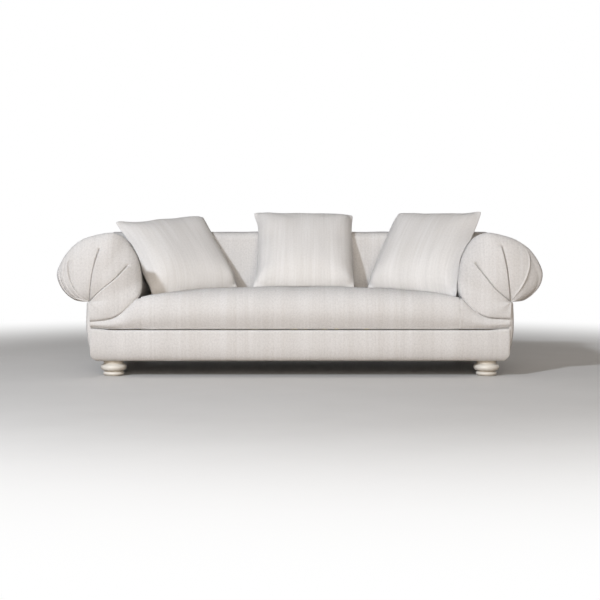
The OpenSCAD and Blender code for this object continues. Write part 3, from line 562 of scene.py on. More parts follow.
# %% Pleats
# Each pleat: which side overlaps (1 where the cloth further inwards lies on top), its strength,
# the slope by which the cloth past it turns away, and its points as x and z from the tuck
# outwards, for the arm on either side
PLEATS = {
    "left": [
        (-1, 0.6, 0.0, [(1.1053, 0.4068), (1.1330, 0.4440), (1.1560, 0.4934), (1.1650, 0.5448),
                        (1.1655, 0.5900)]),
        (1, 1.0, 0.0, [(1.0443, 0.5065), (1.0282, 0.5770), (1.0050, 0.6500)]),
        (1, 1.0, 0.0, [(1.0025, 0.4355), (0.9380, 0.4869), (0.8997, 0.5257), (0.8650, 0.5640)]),
        (-1, 0.25, 0.0, [(1.1180, 0.4000), (1.1550, 0.4330), (1.1820, 0.4900), (1.1890, 0.5500),
                         (1.1800, 0.6050)]),
        (-1, 0.35, 0.0, [(1.1000, 0.3915), (1.1500, 0.4060), (1.1860, 0.4420), (1.2080, 0.4920),
                         (1.2120, 0.5350)])],
    "right": [
        (1, 0.22, 0.42, [(1.1128, 0.4486), (1.1420, 0.5065), (1.1577, 0.5639), (1.1577, 0.6093),
                         (1.1470, 0.6380)]),
        (1, 1.0, 0.0, [(1.0489, 0.4677), (1.0393, 0.5448), (1.0262, 0.6093), (1.0140, 0.6620)]),
        (1, 1.0, 0.0, [(0.9909, 0.4355), (0.9461, 0.4869), (0.9073, 0.5388), (0.8770, 0.5780)])]}


def pleat_relief(x, z, pleats):
    """How far the front sinks at x, z, and how deep in a cleft the point lies, from 0 to 1. A
    pleat is a fold laid flat: on one side of its line the cloth is raised, on the other it is
    sunk, both fading away from the line, and a narrow cleft runs between. It ends in a dimple.
    Where the cloth past a pleat turns away, it sinks evenly, and a soft ridge stands beside it."""
    sink, cleft = np.zeros_like(x), np.zeros_like(x)
    for lap, weight, turn, line in pleats:
        p = smooth_line([TUCK, *line], np.linspace(0, len(line), 160))
        far = np.hypot(x[..., None] - p[:, 0], z[..., None] - p[:, 1])
        k = far.argmin(-1)
        near = np.take_along_axis(far, k[..., None], -1)[..., 0]
        way = np.gradient(p, axis=0)[k]
        way /= np.linalg.norm(way, axis=-1, keepdims=True)
        # d is the distance from the line, positive on the side that overlaps, and s the share
        # of the line's length
        d = lap * (way[..., 0] * (z - p[k, 1]) - way[..., 1] * (x - p[k, 0]))
        s = k / (len(p) - 1)
        deeper = 0.75 + 0.25 * rise((s - 0.3) / 0.4)
        strength = weight * deeper * rise(s * 25) * rise((1 - s) * 11)
        over = 0.5 * (1 + np.tanh((d - 0.0022) / 0.0026))
        sink -= strength * 0.0060 * over * np.exp(-near / 0.030)
        sink += strength * 0.0085 * (1 - over) * np.exp(-near / 0.016)
        wide = 0.0018 + 0.0014 * rise((s - 0.45) / 0.4)
        gap = strength * np.exp(-((d + 0.0012) / wide) ** 2) * (near < 0.02)
        dimple = 0.0035 * weight * np.exp(-((near / 0.009) ** 2)) * rise((s - 0.85) / 0.15)
        sink += 0.0080 * gap + dimple
        past = np.maximum(0, -d)
        away = past * np.exp(-past / 0.075) * rise(s * 4)
        ridge = 0.009 * np.exp(-((d - 0.002) / 0.006) ** 2) * rise(s * 6)
        sink += turn * (away - ridge)
        # The cleft's depth later paints shade into the cloth's colour along the pleat
        cleft = np.maximum(cleft, gap)
    return sink, cleft


print({side: len(pleats) for side, pleats in PLEATS.items()}, "pleats")

# %% Arm outlines
def arm_line(side, around):
    """Points of the arm's closed outline and their positions on it, closer together where the
    pleats run: the places follow the running total of a density that peaks there."""
    even = np.linspace(0.02, SEAM_PLACE, 2000)
    peaks = sum(np.exp(-((even - k) / w) ** 2) for k, w in ((4.4, 1.5), (7.4, 0.5), (11.1, 0.5)))
    total = np.cumsum(1 + 1.6 * peaks)
    u = np.interp(np.linspace(total[0], total[-1], around), total, even)
    line = smooth_line(OUTLINE[side], u)
    line[:, 0] = np.where(u > 13.5, np.minimum(line[:, 0], CORNER), line[:, 0])
    t = np.linspace(0, 1, 12)[1:-1, None]
    corner = line[-1] * (1 - t) + TUCK * t
    return np.concatenate([line, corner]), np.concatenate([u, np.full(len(t), 1.0 * SEAM_PLACE)])


def arm_swell(u):
    """Share by which the front swells past the arm behind it, at places on the outline."""
    return np.interp(u, [0, 2, 5, 7, 11, 12.5, 13, 13.6, 14.2, SEAM_PLACE],
                     [0, 0.55, 0.55, 1, 1, 1, 0.7, 0.35, 0, 0])


def set_back(u):
    """How far the outline lies behind the arm's front plane: its inner side turns away more."""
    return 0.040 * rise((u - 7.5) / 2.5) * rise((13.4 - u) / 1.2)


def drawn_in(line, u, depth):
    """The outline at a depth behind the swollen front: each point moves towards the roll's
    middle, by nothing where the arm meets the seat and the side panel."""
    inward = ROLL_MIDDLE - line
    inward /= np.linalg.norm(inward, axis=1)[:, None]
    move = 0.042 * arm_swell(u) * rise((depth - ARM_FRONT_Y - 0.012) / 0.115)
    return line[:, 0] + inward[:, 0] * move, line[:, 1] + inward[:, 1] * move, inward


print("outline points", [len(line) for line in OUTLINE.values()])

# %% Arm skins
def arm_rings(side, around=440, fan=132, deep=46):
    """Rings of the arm from the tuck to its rear. In the fan a ring lies at one share t of the
    way from the tuck to the outline. It stands forward by dome x sqrt(distance) x the half
    circle over t and at the corner seam, and lies back by set_back x t^3. Behind it the outline
    is drawn in and runs straight to the back. Also returns how deep in a cleft each point is."""
    line, u = arm_line(side, around)
    reach = np.linalg.norm(line - TUCK, axis=1)
    t = dense_ends(fan, 0.6)[1:, None]
    x = TUCK[0] + (line[:, 0] - TUCK[0]) * t
    z = TUCK[1] + (line[:, 1] - TUCK[1]) * t
    corner = rise((u - 13.0) / 2.2)
    dome = 0.066 * np.sqrt(reach / reach.max()) * (1 - 0.35 * corner)
    y = ARM_FRONT_Y - CORNER_OUT * corner * t ** 2 - 0.042 * (1 - t) ** 2 * (0.5 + 0.5 * corner)
    y = y - 0.020 * corner * 4 * t * (1 - t) + set_back(u) * t ** 3
    y = y - dome * np.sqrt(np.maximum(0, 1 - (2 * t - 1) ** 2))
    sink, cleft = pleat_relief(x, z, PLEATS[side])
    y = y + sink * rise((1 - t) * 6)
    y = y + rise(t * 8) * rise((1 - t) * 6) * ripple(x, z, 0.16, 21) * 0.0018
    front = np.stack([x, y, z], 2)
    s = np.linspace(0, 1, deep)[1:, None] ** 1.25
    start = ARM_FRONT_Y - CORNER_OUT * corner + set_back(u)
    depth = start + (ARM_REAR_Y - start) * s
    body_x, body_z, inward = drawn_in(line, u, depth)
    body = np.stack([body_x, depth, body_z], 2)
    soft = ripple(body[..., 1], np.broadcast_to(u * 0.09, body_x.shape), 0.22, 31) * 0.0014
    soft = soft * rise((depth - ARM_FRONT_Y) / 0.1) * ((u > 1.5) & (u < 12.5))
    body[..., 0] += inward[:, 0] * soft
    body[..., 2] += inward[:, 1] * soft
    return np.concatenate([front, body]), fan, np.concatenate([cleft, 0 * body_x])


def arm_cloth_map(rings, fan):
    """On the front the stripes stand upright. On the roll they run round it, from the seat
    over the top to the tuck."""
    ring = with_first(rings)
    front = np.stack([ring[..., 0], ring[..., 2]], 2)
    roll = np.stack([ring[..., 1], run_length(ring)], 2)
    return np.where((np.arange(len(rings)) < fan)[:, None, None], front, roll)


for side, sign in SIDES:
    rings, fan, cleft = arm_rings(side)
    rings[..., 0] *= sign
    arm = skin("arm_cloth_" + side, rings, arm_cloth_map(rings, fan), 75)
    # How deep each point lies in a pleat's cleft goes on the arm as the attribute fold, which
    # paints shade into the clefts
    fold = arm.data.attributes.new("fold", "FLOAT", "POINT")
    fold.data.foreach_set("value", np.append(cleft.ravel(), [0, 0]).astype(np.float32))
    dress(arm, cover_cloth, "arm_cover_" + side)

# %% [markdown]
# The tight back runs the full width behind the arms. Its top is a soft roll, and its face leans
# back a little from the seat. Past the arms only its upper part shows, from behind.

# %% Back
LEDGE_Z = 0.701         # where the rear steps in for the outside back
BACK_END = 1.0305       # past this place the rear runs straight down


def back_rings(x, inset):
    """Closed sections of the back at the places x: a raked face, a rounded top edge, a slightly
    crowned top and a tighter rounded rear edge. Under that edge the rear is stepped in for the
    outside back, and at the two ends it runs straight down."""
    far = np.abs(x)[:, None]
    low = far <= SEAT_HALF
    inset = inset[:, None]
    y0, y1, top = BACK_FRONT_Y + inset, HALF_DEPTH - inset, BACK_TOP - inset
    z0 = np.where(low, BACK_FOOT, 0.3783)
    rake = np.where(low, BACK_RAKE, 0.0)
    r, rear_r = BACK_ROLL, 0.023
    t = np.linspace(0, 1, 40)[:-1]
    face = y0 - rake * (1 - t) ** RAKE_POWER, z0 + (top - r - z0) * t
    a = np.linspace(0, np.pi / 2, 16)[:-1]
    roll = y0 + r * (1 - np.cos(a)), top - r + r * np.sin(a)
    b = np.linspace(0, 1, 14)[:-1]
    crown = y0 + r + (y1 - rear_r - y0 - r) * b, top + 0.0035 * np.sin(np.pi * b)
    c = np.linspace(0, np.pi / 2, 10)
    rear = y1 - rear_r * (1 - np.sin(c)), top - rear_r * (1 - np.cos(c))
    d = np.linspace(0, 1, 16)[1:]
    fall = y1, top - rear_r + (LEDGE_Z - top + rear_r) * d
    e = np.linspace(0, 1, 5)[1:]
    step = 0.022 * (1 - rise((far - BACK_END) / 0.006))
    ledge = y1 - step * e, LEDGE_Z
    f = np.linspace(0, 1, 18)[1:]
    below = y1 - step, LEDGE_Z + (z0 - LEDGE_Z) * f
    y, z = joined(face, roll, crown, rear, fall, ledge, below)
    return np.stack([np.broadcast_to(x[:, None], y.shape), y, z], 2)


back_in = SEAT_HALF * (2 * dense_ends(120, 0.3) - 1)
end_turn = np.linspace(0, np.pi / 2, 9)
back_out = np.concatenate([np.linspace(SEAT_HALF + 0.001, 1.0300, 12), [1.0330, 1.0365],
                           BASE_HALF - 0.024 * (1 - np.sin(end_turn))])
back_inset = np.concatenate([np.zeros(14), 0.020 * (1 - np.cos(end_turn))])
back_x = np.concatenate([-back_out[::-1], back_in, back_out])
inset = np.concatenate([back_inset[::-1], np.zeros(len(back_in)), back_inset])
rings = back_rings(back_x, inset)
give = ripple(rings[..., 0], rings[..., 2], 0.34, 51) * 0.0022
rings[..., 1] += np.where(rings[..., 1] < 0.40, give, 0)
hollows = ripple(rings[..., 0], rings[..., 1], 0.25, 52) * 0.0012
rings[..., 2] += np.where(rings[..., 2] > 0.70, hollows, 0)
dress(skin("back_cloth", rings, cloth_map(rings, back_x[:, None])),
      cover_cloth, "back_cover")

# %% [markdown]
# The base is wrapped in a padded border. Its top edge rolls in under the seat, which draws the
# dark seam line across the front, and its foot turns under. The side panels go from the floor
# line up to the tuck in one piece, and their front corners are rounded.

# %% Flank, border and side panels
# Shares of the flank's height, and by how many times the flank's depth it lies inwards there
FLANK = np.array([[0, 1.15], [0.012, 0.92], [0.04, 0.68], [0.09, 0.46], [0.18, 0.26],
                  [0.37, 0.08], [0.53, 0.0], [0.74, -0.03], [1, 0.0]])
FLANK_H = TUCK[1] - 0.0015 - BORDER_Z
FLANK_DEPTH = 0.048
FACE_Y = -0.49          # what lies in front of this is the border's face


def flank(z):
    """How far the padded side stands out at the height z: it bulges in the middle and turns
    under at the floor line, along a smooth line through the shares of FLANK."""
    at = np.clip((z - BORDER_Z) / FLANK_H, 0, 1)
    line = smooth_line(FLANK, np.linspace(0, len(FLANK) - 1, 200))
    return BASE_HALF - FLANK_DEPTH * np.interp(at, line[:, 0], line[:, 1])


def border_ring():
    """Closed section of the front border in y and z: up the face from the turned-under foot,
    over the rolled top edge, a quarter circle, and down the back."""
    y0, height, swell_z, out, r, thick = -0.5155, 0.157, 0.092, 0.040, 0.013, 0.042
    a = np.linspace(-np.pi / 2, 0, 30)
    turn_in = np.cos(a) ** 0.85
    foot = np.stack([y0 + out * (1 - turn_in), BORDER_Z + swell_z * (1 + np.sin(a))], 1)
    t = np.linspace(0, 1, 14)[1:-1]
    face = np.stack([y0 + 0.0020 * t ** 2, BORDER_Z + swell_z + (height - swell_z - r) * t], 1)
    b = np.linspace(0, np.pi / 2, 12)
    top = np.stack([y0 + 0.015 - r * np.cos(b), BORDER_Z + height - r + r * np.sin(b)], 1)
    rear = np.array([[y0 + thick, BORDER_Z + z] for z in (height, 0.08, 0)])
    return np.concatenate([foot, face, top, rear])


section = border_ring()
edge = np.array([0.0, 0.0012, 0.003, 0.006, 0.010, 0.016, 0.024])
border_x = np.concatenate([-CORNER + edge, np.linspace(-1.02, 1.02, 210), (CORNER - edge)[::-1]])
# Near each corner seam the face eases back by a quarter circle
quarter = 1 - np.sqrt(1 - (1 - edge / edge[-1]) ** 2)
ease = np.interp(CORNER - np.abs(border_x), edge, 0.006 * quarter)
rings = np.empty((len(border_x), len(section), 3))
rings[..., 0] = border_x[:, None]
rings[..., 1] = section[:, 0] + ease[:, None] * (section[:, 0] < FACE_Y)
rings[..., 2] = section[:, 1] + lifted(border_x)[:, None] * rise((section[:, 1] - 0.15) / 0.07)
side_limit = flank(rings[..., 2])
rings[..., 0] = np.clip(rings[..., 0], -side_limit, side_limit)
swag = ripple(rings[..., 0], rings[..., 2] * 0.8, 0.26, 61) * 0.0016
gather = (np.exp(-(BORDER_TOP - rings[..., 2]) / 0.02)
          * ripple(rings[..., 0], rings[..., 2] * 0.2, 0.05, 62) * 0.0010)
rings[..., 1] += np.where(rings[..., 1] < FACE_Y, swag + gather, 0)
dress(skin("front_border_cloth", rings, cloth_map(rings, border_x[:, None])),
      cover_cloth, "front_border")

# %% Side panels
def panel_rings(levels=70):
    """Rings stacked from the floor line to the tuck. A ring runs along the outside from the
    front corner seam to the back seam, with both corners rounded, and returns along the
    inside. The corner seams are drawn in a little, so that they read as lines."""
    z = BORDER_Z + FLANK_H * dense_ends(levels, 0.5)
    out = flank(z)[:, None]
    r = 0.024
    y_front = -0.502 - 0.25 * (out - BASE_HALF)
    y_rear = HALF_DEPTH - 0.004
    lead = np.linspace(0, 1, 5)[:-1]
    seam = np.minimum(CORNER, out - 0.6 * r)
    head = seam + (out - r - seam) * lead, y_front + 0.004 * (1 - lead) ** 2
    a = np.linspace(-np.pi / 2, 0, 14)
    corner = out - r + r * np.cos(a), y_front + r + r * np.sin(a)
    s = np.linspace(0, 1, 60)[1:-1]
    run = (out + 0.0045 * np.sin(np.pi * s) ** 0.6 - 0.002,
           y_front + r + (y_rear - r - y_front - r) * s)
    end = out - r + r * np.cos(-a[::-1]), y_rear - r + r * np.sin(-a[::-1])
    in_y = y_front + 0.008 + (HALF_DEPTH - 0.010 - y_front - 0.008) * np.linspace(1, 0, 12)
    in_x = np.minimum(CORNER - 0.0002, out - 0.004) + 0 * in_y
    in_x[:, 0] = np.minimum(in_x[:, 0], 1.030)
    x, y = joined(head, corner, run, end, (in_x, in_y))
    zz = np.broadcast_to(z[:, None], x.shape)
    top = np.maximum(0, (z - z[-1] + 0.010) / 0.010)[:, None]
    x = x - 0.004 * top ** 2 * (x > CORNER + 0.002)
    wave = ripple(y, zz, 0.30, 71) * 0.0016
    x = x + np.where(x > CORNER + 0.004, wave, 0)
    return np.stack([x, y, zz], 2)


for side, sign in SIDES:
    rings = panel_rings()
    ring = with_first(rings)
    weave = np.stack([run_length(ring), ring[..., 2]], 2)
    rings[..., 0] *= sign
    dress(skin("side_panel_" + side, rings, weave, 50),
          cover_cloth, "outside_arm_" + side)

# %% [markdown]
# Behind, a flat padded panel closes the frame under the back's roll, a padded board closes the
# rear end of each arm roll, and a black cloth is stapled under the seat against dust.

# %% Outside back
OUTSIDE_HALF = 1.0297


def outside_back_rings(m=26):
    """Closed sections of the thin rear panel: rounded at its top and bottom edges, and a
    little crowned between them."""
    x = OUTSIDE_HALF * (2 * dense_ends(150, 0.5) - 1)
    y0, y1, top, r = 0.4992, HALF_DEPTH - 0.003, 0.699, 0.008
    a = np.linspace(-np.pi / 2, 0, 8)
    low = np.stack([y1 - r + r * np.cos(a), BORDER_Z + r + r * np.sin(a)], 1)
    t = np.linspace(0, 1, m)[1:-1]
    face = np.stack([y1 + 0.0028 * np.sin(np.pi * t) ** 0.7,
                     BORDER_Z + r + (top - 2 * r - BORDER_Z) * t], 1)
    b = np.linspace(0, np.pi / 2, 8)
    high = np.stack([y1 - r + r * np.cos(b), top - r + r * np.sin(b)], 1)
    rear = np.array([[y0, top], [y0, 0.4], [y0, BORDER_Z]])
    section = np.concatenate([low, face, high, rear])
    rings = np.empty((len(x), len(section), 3))
    limit = np.minimum(flank(section[:, 1]) - 0.0003, OUTSIDE_HALF)
    inward = np.exp(-(OUTSIDE_HALF - np.abs(x)) / 0.006) * 0.006
    rings[..., 0] = np.clip(x[:, None], -limit, limit)
    rings[..., 1] = section[:, 0] - inward[:, None] * (section[:, 0] > 0.505)
    rings[..., 2] = section[:, 1]
    wave = ripple(rings[..., 0], rings[..., 2], 0.4, 81) * 0.0015
    rings[..., 1] += np.where(rings[..., 1] > 0.51, wave - 0.0008, 0)
    return rings, x


rings, panel_x = outside_back_rings()
dress(skin("outside_back_cloth", rings, cloth_map(rings, panel_x[:, None])),
      cover_cloth, "outside_back")

# %% Rear facings of the arms
def facing_rings(side):
    """Rings that follow the arm's rear outline, drawn in and stood out to a shallow dome: out
    to the board's edge, round it by part of a circle, and flat to the middle."""
    line, u = arm_line(side, 150)
    x, z, inward = drawn_in(line, u, ARM_REAR_Y)
    line = np.stack([x, z], 1) + inward * 0.0015
    middle = np.array([1.02, 0.52])
    turn = np.linspace(0.4, np.pi / 2, 6)
    flat = np.linspace(0.97, 0.03, 26)
    board, edge_y = 0.3093, 0.3135
    share = np.concatenate([[1.0, 1.0], 1 - 0.010 * (1 - np.cos(turn)), flat])
    rear = np.concatenate([[board, edge_y], edge_y + 0.0055 * np.sin(turn), 0 * flat + 0.3191])
    at = middle + (line - middle) * share[:, None, None]
    y = np.broadcast_to(rear[:, None], at.shape[:2])
    return np.stack([at[..., 0], y, at[..., 1]], 2)


for side, sign in SIDES:
    rings = facing_rings(side)
    rings[..., 0] *= sign
    dress(skin("rear_facing_" + side, rings, with_first(rings)[..., [0, 2]], 50),
          cover_cloth, "arm_facing_" + side)

# %% Dust cloth under the seat
def dust_grid(n=60, m=26, thick=0.0013):
    """Two sheets a cloth's thickness apart, sagging a few millimetres between the rails: the
    sag is the square root of the product of a half sine each way."""
    low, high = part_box("dust_cover")
    s, t = np.linspace(0, 1, n), np.linspace(0, 1, m)
    x = low.x + (high.x - low.x) * s[:, None] + 0 * t
    y = low.y + (high.y - low.y) * t[None, :] + 0 * s[:, None]
    sag = 0.006 * (np.sin(np.pi * s)[:, None] * np.sin(np.pi * t)[None, :]) ** 0.5
    sag = sag + 0.0006 * ripple(x, y, 0.2, 91) * (sag > 0.001)
    top = np.stack([x, y, high.z - 0.0001 - sag], 2)
    bottom = top - [0, 0, thick]
    return np.concatenate([top, bottom[:, ::-1]], 1)


rings = dust_grid()
dress(skin("dust_cloth_sheet", rings, cloth_map(rings, rings[:, :1, 0]), 40),
      dust_cloth, "dust_cover")

# %% [markdown]
# The three loose cushions are square covers round soft inserts. Each leans on the back and
# stands on the seat, turned and tilted as it was dropped there. A cushion starts as two crowned
# sheets with one sewn edge, whose sides run in between the corners. A short cloth simulation
# with inner pressure then evens out the tension of the cover. It stays short, because the
# crown and the slump are already in the sheets. Last, what would sink into the seat, the back
# or an arm is pressed flat against it.

# %% Where the cushions lie
CUSHION_SIDE = 0.530
# Each cushion: the middle of its bottom edge, its turn, lean and roll in degrees, how far one
# side edge curls forward, which side that is, how far the stuffing slumps past either side seam,
# how tightly the cover is drawn over that edge, and how far each corner is pulled along and up
# the cover, from the lower left one round
CUSHIONS = {
    "left": dict(
        foot=(-0.5540, -0.0320, 0.4165), turn=29.2, lean=43.3, roll=5.8, curl=0.036, side=-1,
        slump=(0.046, 0.0), tight=1.0,
        corners=((-0.0033, 0.0037), (-0.0150, -0.0120), (0.0063, 0.0026), (-0.0109, 0.0120))),
    "centre": dict(
        foot=(0.0264, 0.0370, 0.4275), turn=0.9, lean=39.6, roll=-0.8, curl=0.004, side=1,
        slump=(0.004, 0.020), tight=0.0,
        corners=((-0.0180, -0.0045), (0.0050, -0.0010), (0.0066, -0.0060), (-0.0247, 0.0072))),
    "right": dict(
        foot=(0.5955, -0.0117, 0.4215), turn=-31.4, lean=38.9, roll=-0.5, curl=0.025, side=1,
        slump=(0.0, 0.018), tight=0.6,
        corners=((0.0020, -0.0058), (0.0177, -0.0364), (-0.0056, 0.0170), (0.0152, 0.0033)))}


def cushion_axes(c):
    """Directions along a cushion's bottom edge, up its face, and out of its front: the level
    ones turned about the upright, then leant and rolled."""
    turn, lean, roll = (math.radians(c[k]) for k in ("turn", "lean", "roll"))
    r = np.array([math.cos(turn), math.sin(turn), 0])
    rear = np.array([-math.sin(turn), math.cos(turn), 0])
    up = rear * math.sin(lean) + np.array([0, 0, 1]) * math.cos(lean)
    return (r * math.cos(roll) + up * math.sin(roll), up * math.cos(roll) - r * math.sin(roll),
            np.cross(r, up))


def cushion_seed(c):
    """The number from which a cushion's own ripples are drawn."""
    return int(100 + c["turn"])


def sewn_square(a, b, c, pull=0.066):
    """Places on a sewn square from its shares a, b: the edges run a little inside the corners,
    which are rounded off by a high power of the product ab. Each corner is pulled its own way,
    by exp(-(distance / pull)^2) of its shift, and the seams wander by a millimetre or two."""
    w = CUSHION_SIDE / 2
    x = 1.028 * w * a * (1 - 0.042 * (1 - b ** 4))
    y = 1.028 * w * b * (1 - 0.038 * (1 - a ** 4))
    round_off = 1 - 0.046 * np.abs(a * b) ** 11
    x, y = x * round_off, y * round_off
    for (way_x, way_y), (dx, dy) in zip(((-1, -1), (1, -1), (1, 1), (-1, 1)), c["corners"]):
        near = np.exp(-((x - way_x * w) ** 2 + (y - way_y * w) ** 2) / pull ** 2)
        x, y = x + dx * near, y + dy * near
    seed = cushion_seed(c)
    edge = np.maximum(abs(a), abs(b)) ** 6
    x = x + edge * ripple(y, x * 0.3, 0.17, seed) * 0.0016
    y = y + edge * ripple(x, y * 0.3, 0.15, seed + 1) * 0.0020
    return x, y + w


def cushion_sheets(c, n, thick):
    """Front and rear sheets as a grid of shares a, b from -1 to 1. The stuffing stands out by a
    power of the fullness, 60% in front and 40% behind, less towards the top. The power is
    higher, and so the sheet tighter, over the edge that curls forward. A little stuffing stays
    in the ears. It slumps: low down and behind, it bulges past the side seams."""
    q = np.linspace(-1, 1, n + 1)
    q = 0.35 * np.sin(q * np.pi / 2) + 0.65 * q
    a, b = np.meshgrid(q, q, indexing="ij")
    x, y = sewn_square(a, b, c)
    high = (b + 1) / 2
    reach = np.maximum(0, (c["side"] * a + 0.2) / 1.2)
    curl = c["curl"] * reach ** 2 * np.sin(np.pi * high ** 0.65) ** 1.5
    wavy_edge = 0.003 * np.maximum(abs(a), abs(b)) ** 3
    curl = curl + ripple(x, y, 0.23, cushion_seed(c) + 2) * wavy_edge
    along, up, out = cushion_axes(c)
    # Share of the fullness: 1 minus a rounded-square distance, which is just past 0 at the ears
    inner = 1 - (np.abs(a) ** 7 + np.abs(b) ** 7) ** (3.2 / 7)
    full = (inner + np.sqrt(inner ** 2 + 0.03 ** 2)) / 2 * (1 - a ** 16) * (1 - b ** 16)
    ear = 0.08 * np.abs(a * b) ** 4 * np.sqrt((1 - a * a) * (1 - b * b))
    tight = 0.46 + 0.6 * c["tight"] * rise((c["side"] * a - 0.1) / 0.9)
    sheets = []
    for share, power, flatter in ((0.60, tight, 0.24), (-0.40, 0.42, 0.45)):
        thin_top = 1 - flatter * rise((high - 0.3) / 0.7)
        swell = thick * share * full ** power * thin_top + np.sign(share) * ear
        past = np.zeros_like(x)
        if share < 0:
            low = np.exp(-((high - 0.24) / 0.26) ** 2) * (1 - b * b) ** 0.5
            for slump, way in zip(c["slump"], (-1, 1)):
                past += way * slump * low * (1 - a * a) ** 0.35 * rise((way * a + 0.1) / 0.9)
        sheets.append(np.array(c["foot"]) + (x + past)[..., None] * along + y[..., None] * up
                      + (curl + swell)[..., None] * out)
    return sheets, (a, b)


print("cushions placed")

# %% The two sheets sewn together
def cushion_mesh(name, c, n=60, thick=0.168):
    """One mesh from two sheets that share their rim, with the cloth's map in metres on both.
    Also returns the numbers of the points of the front and of the rear sheet."""
    (front, rear), (a, b) = cushion_sheets(c, n, thick)
    size = n + 1
    front_index = np.arange(size * size).reshape(size, size)
    inside = np.zeros((size, size), bool)
    inside[1:-1, 1:-1] = True
    rear_index = front_index.copy()
    rear_index[inside] = size * size + np.arange(inside.sum())
    verts = np.concatenate([front.reshape(-1, 3), rear[inside]])
    faces = np.concatenate([quads_of(front_index), quads_of(rear_index)[:, TURNED_OVER]])
    flat = quads_of(np.stack([a, b], 2) * CUSHION_SIDE / 2)
    # Each cushion shows another stretch of the same cloth, and its rear sheet yet another
    start, rear_start = c["turn"] / 50, 0.9
    uv = np.concatenate([flat + [start, 0.0], flat[:, TURNED_OVER] + [rear_start + start, 0.0]])
    obj = new_object(name, verts, faces.tolist(), uv.reshape(-1, 2), 180)
    return obj, front_index, rear_index


def points_of(obj):
    """The mesh's points as an array."""
    co = np.empty(len(obj.data.vertices) * 3)
    obj.data.vertices.foreach_get("co", co)
    return co.reshape(-1, 3)


def set_points(obj, co):
    """Puts an array of points back into the mesh."""
    obj.data.vertices.foreach_set("co", co.astype(np.float32).ravel())
    obj.data.update()


# Settings of the cloth under pressure, stiffer along its threads than in shear or bending
CLOTH = dict(quality=6, mass=0.35, tension_stiffness=18, compression_stiffness=14,
             shear_stiffness=6, bending_stiffness=1.6, use_pressure=True,
             uniform_pressure_force=2.2, shrink_min=0.0, vertex_group_mass="seam",
             pin_stiffness=1.0)


def filled(obj, rim, frames=16, cap=0.003):
    """Cloth under inner pressure for a few frames, its result kept. The sewn rim is pinned, so
    the cushion keeps its outline. A point moves by no more than the cap: its path is shortened
    to cap x tanh(distance / cap)."""
    start = points_of(obj)
    obj.vertex_groups.new(name="seam").add([int(k) for k in rim], 1.0, "REPLACE")
    cloth = obj.modifiers.new("fill", "CLOTH")
    for key, value in CLOTH.items():
        setattr(cloth.settings, key, value)
    cloth.settings.effector_weights.gravity = 0
    cloth.collision_settings.use_collision = False
    for f in range(1, frames + 1):
        bpy.context.scene.frame_set(f)
    move = points_of(obj.evaluated_get(bpy.context.evaluated_depsgraph_get())) - start
    obj.modifiers.remove(cloth)
    obj.vertex_groups.clear()
    bpy.context.scene.frame_set(1)
    far = np.linalg.norm(move, axis=1, keepdims=True)
    set_points(obj, start + move / np.maximum(far, 1e-9) * cap * np.tanh(far / cap))
    return float(far.max())


print("cloth settings", CLOTH)

# %% What a cushion rests on
def seat_floor(x, y):
    """Height of the seat's surface under a cushion, with the same fall as in the seat's
    sections, and a little air."""
    nose_y, edge_y = SEAT_NOSE - HALF_DEPTH, SEAT_REAR_Y - SEAT_EDGE
    share = np.clip((y - nose_y) / (edge_y - nose_y), 0, 1)
    return seat_height(x) - SEAT_FALL * share ** 0.8 + 0.0012


def arm_wall(side):
    """The part of an arm's section that a cushion can touch: points and outward normals."""
    line, u = arm_line(side, 300)
    x, z, _ = drawn_in(line, u, ARM_REAR_Y)
    wall = np.stack([x, z], 1)[(u > 7.4) & (u < 13.9)]
    along = np.gradient(wall, axis=0)
    normal = np.stack([along[:, 1], -along[:, 0]], 1) / np.linalg.norm(along, axis=1)[:, None]
    away = ((wall - ROLL_MIDDLE) * normal).sum(1)
    return wall, normal * np.sign(away)[:, None]


def off_the_arm(x, z, side, sign, gap=0.003, deep=0.10):
    """Points inside an arm go to the nearest place on its section, a gap's width outside."""
    wall, normal = arm_wall(side)
    at = np.stack([sign * x, z], 1)
    away = np.linalg.norm(at[:, None] - wall[None], axis=2)
    k = away.argmin(1)
    depth = gap - ((at - wall[k]) * normal[k]).sum(1)
    at = at + np.where((depth > 0) & (away.min(1) < deep), depth, 0)[:, None] * normal[k]
    return sign * at[:, 0], at[:, 1]


def pressed(co, gap=0.0025):
    """Points that lie below the seat, behind the back's face or inside an arm are put on it.
    These surfaces are the ones that the seat, back and arms were made from."""
    x, y, z = co.T
    for side, sign in SIDES:
        x, z = off_the_arm(x, z, side, sign)
    z = np.where(np.abs(x) <= SEAT_HALF, np.maximum(z, seat_floor(x, y)), z)
    r, roll_z = BACK_ROLL, BACK_TOP - BACK_ROLL
    up = np.clip((z - BACK_FOOT) / (roll_z - BACK_FOOT), 0, 1)
    face = BACK_FRONT_Y - BACK_RAKE * (1 - up) ** RAKE_POWER - gap
    lift = np.clip((z - roll_z) / r, 0, 1)
    roll = BACK_FRONT_Y + r * (1 - np.sqrt(np.maximum(0, 1 - lift ** 2))) - gap
    wall = np.where(z > roll_z, roll, face)
    y = np.where(z < BACK_TOP, np.minimum(y, wall), y)
    return np.stack([x, y, z], 1)


def settled(co, front_index, rear_index):
    """Lets the bottom edge down onto the seat: every column of points sinks by the gap under
    its lowest one, fading to nothing at 30% of the cushion's height."""
    edge = co[front_index[:, 0]]
    gap = np.maximum(0, edge[:, 2] - seat_floor(edge[:, 0], edge[:, 1]) - 0.001)
    fade = 1 - rise(np.linspace(0, 1, len(front_index)) / 0.30)
    down = gap[:, None] * fade[None, :]
    co[front_index, 2] -= down
    co[rear_index[1:-1, 1:-1], 2] -= down[1:-1, 1:-1]
    return co, float(gap.max())


def lining(obj, name, share=0.92):
    """The soft insert: the cover's own shape, drawn in to a share of it from the middle."""
    mesh = obj.data.copy()
    mesh.name = name
    insert = placed(name, mesh)
    co = points_of(obj)
    middle = (co.max(0) + co.min(0)) / 2
    set_points(insert, middle + (co - middle) * share)
    return insert


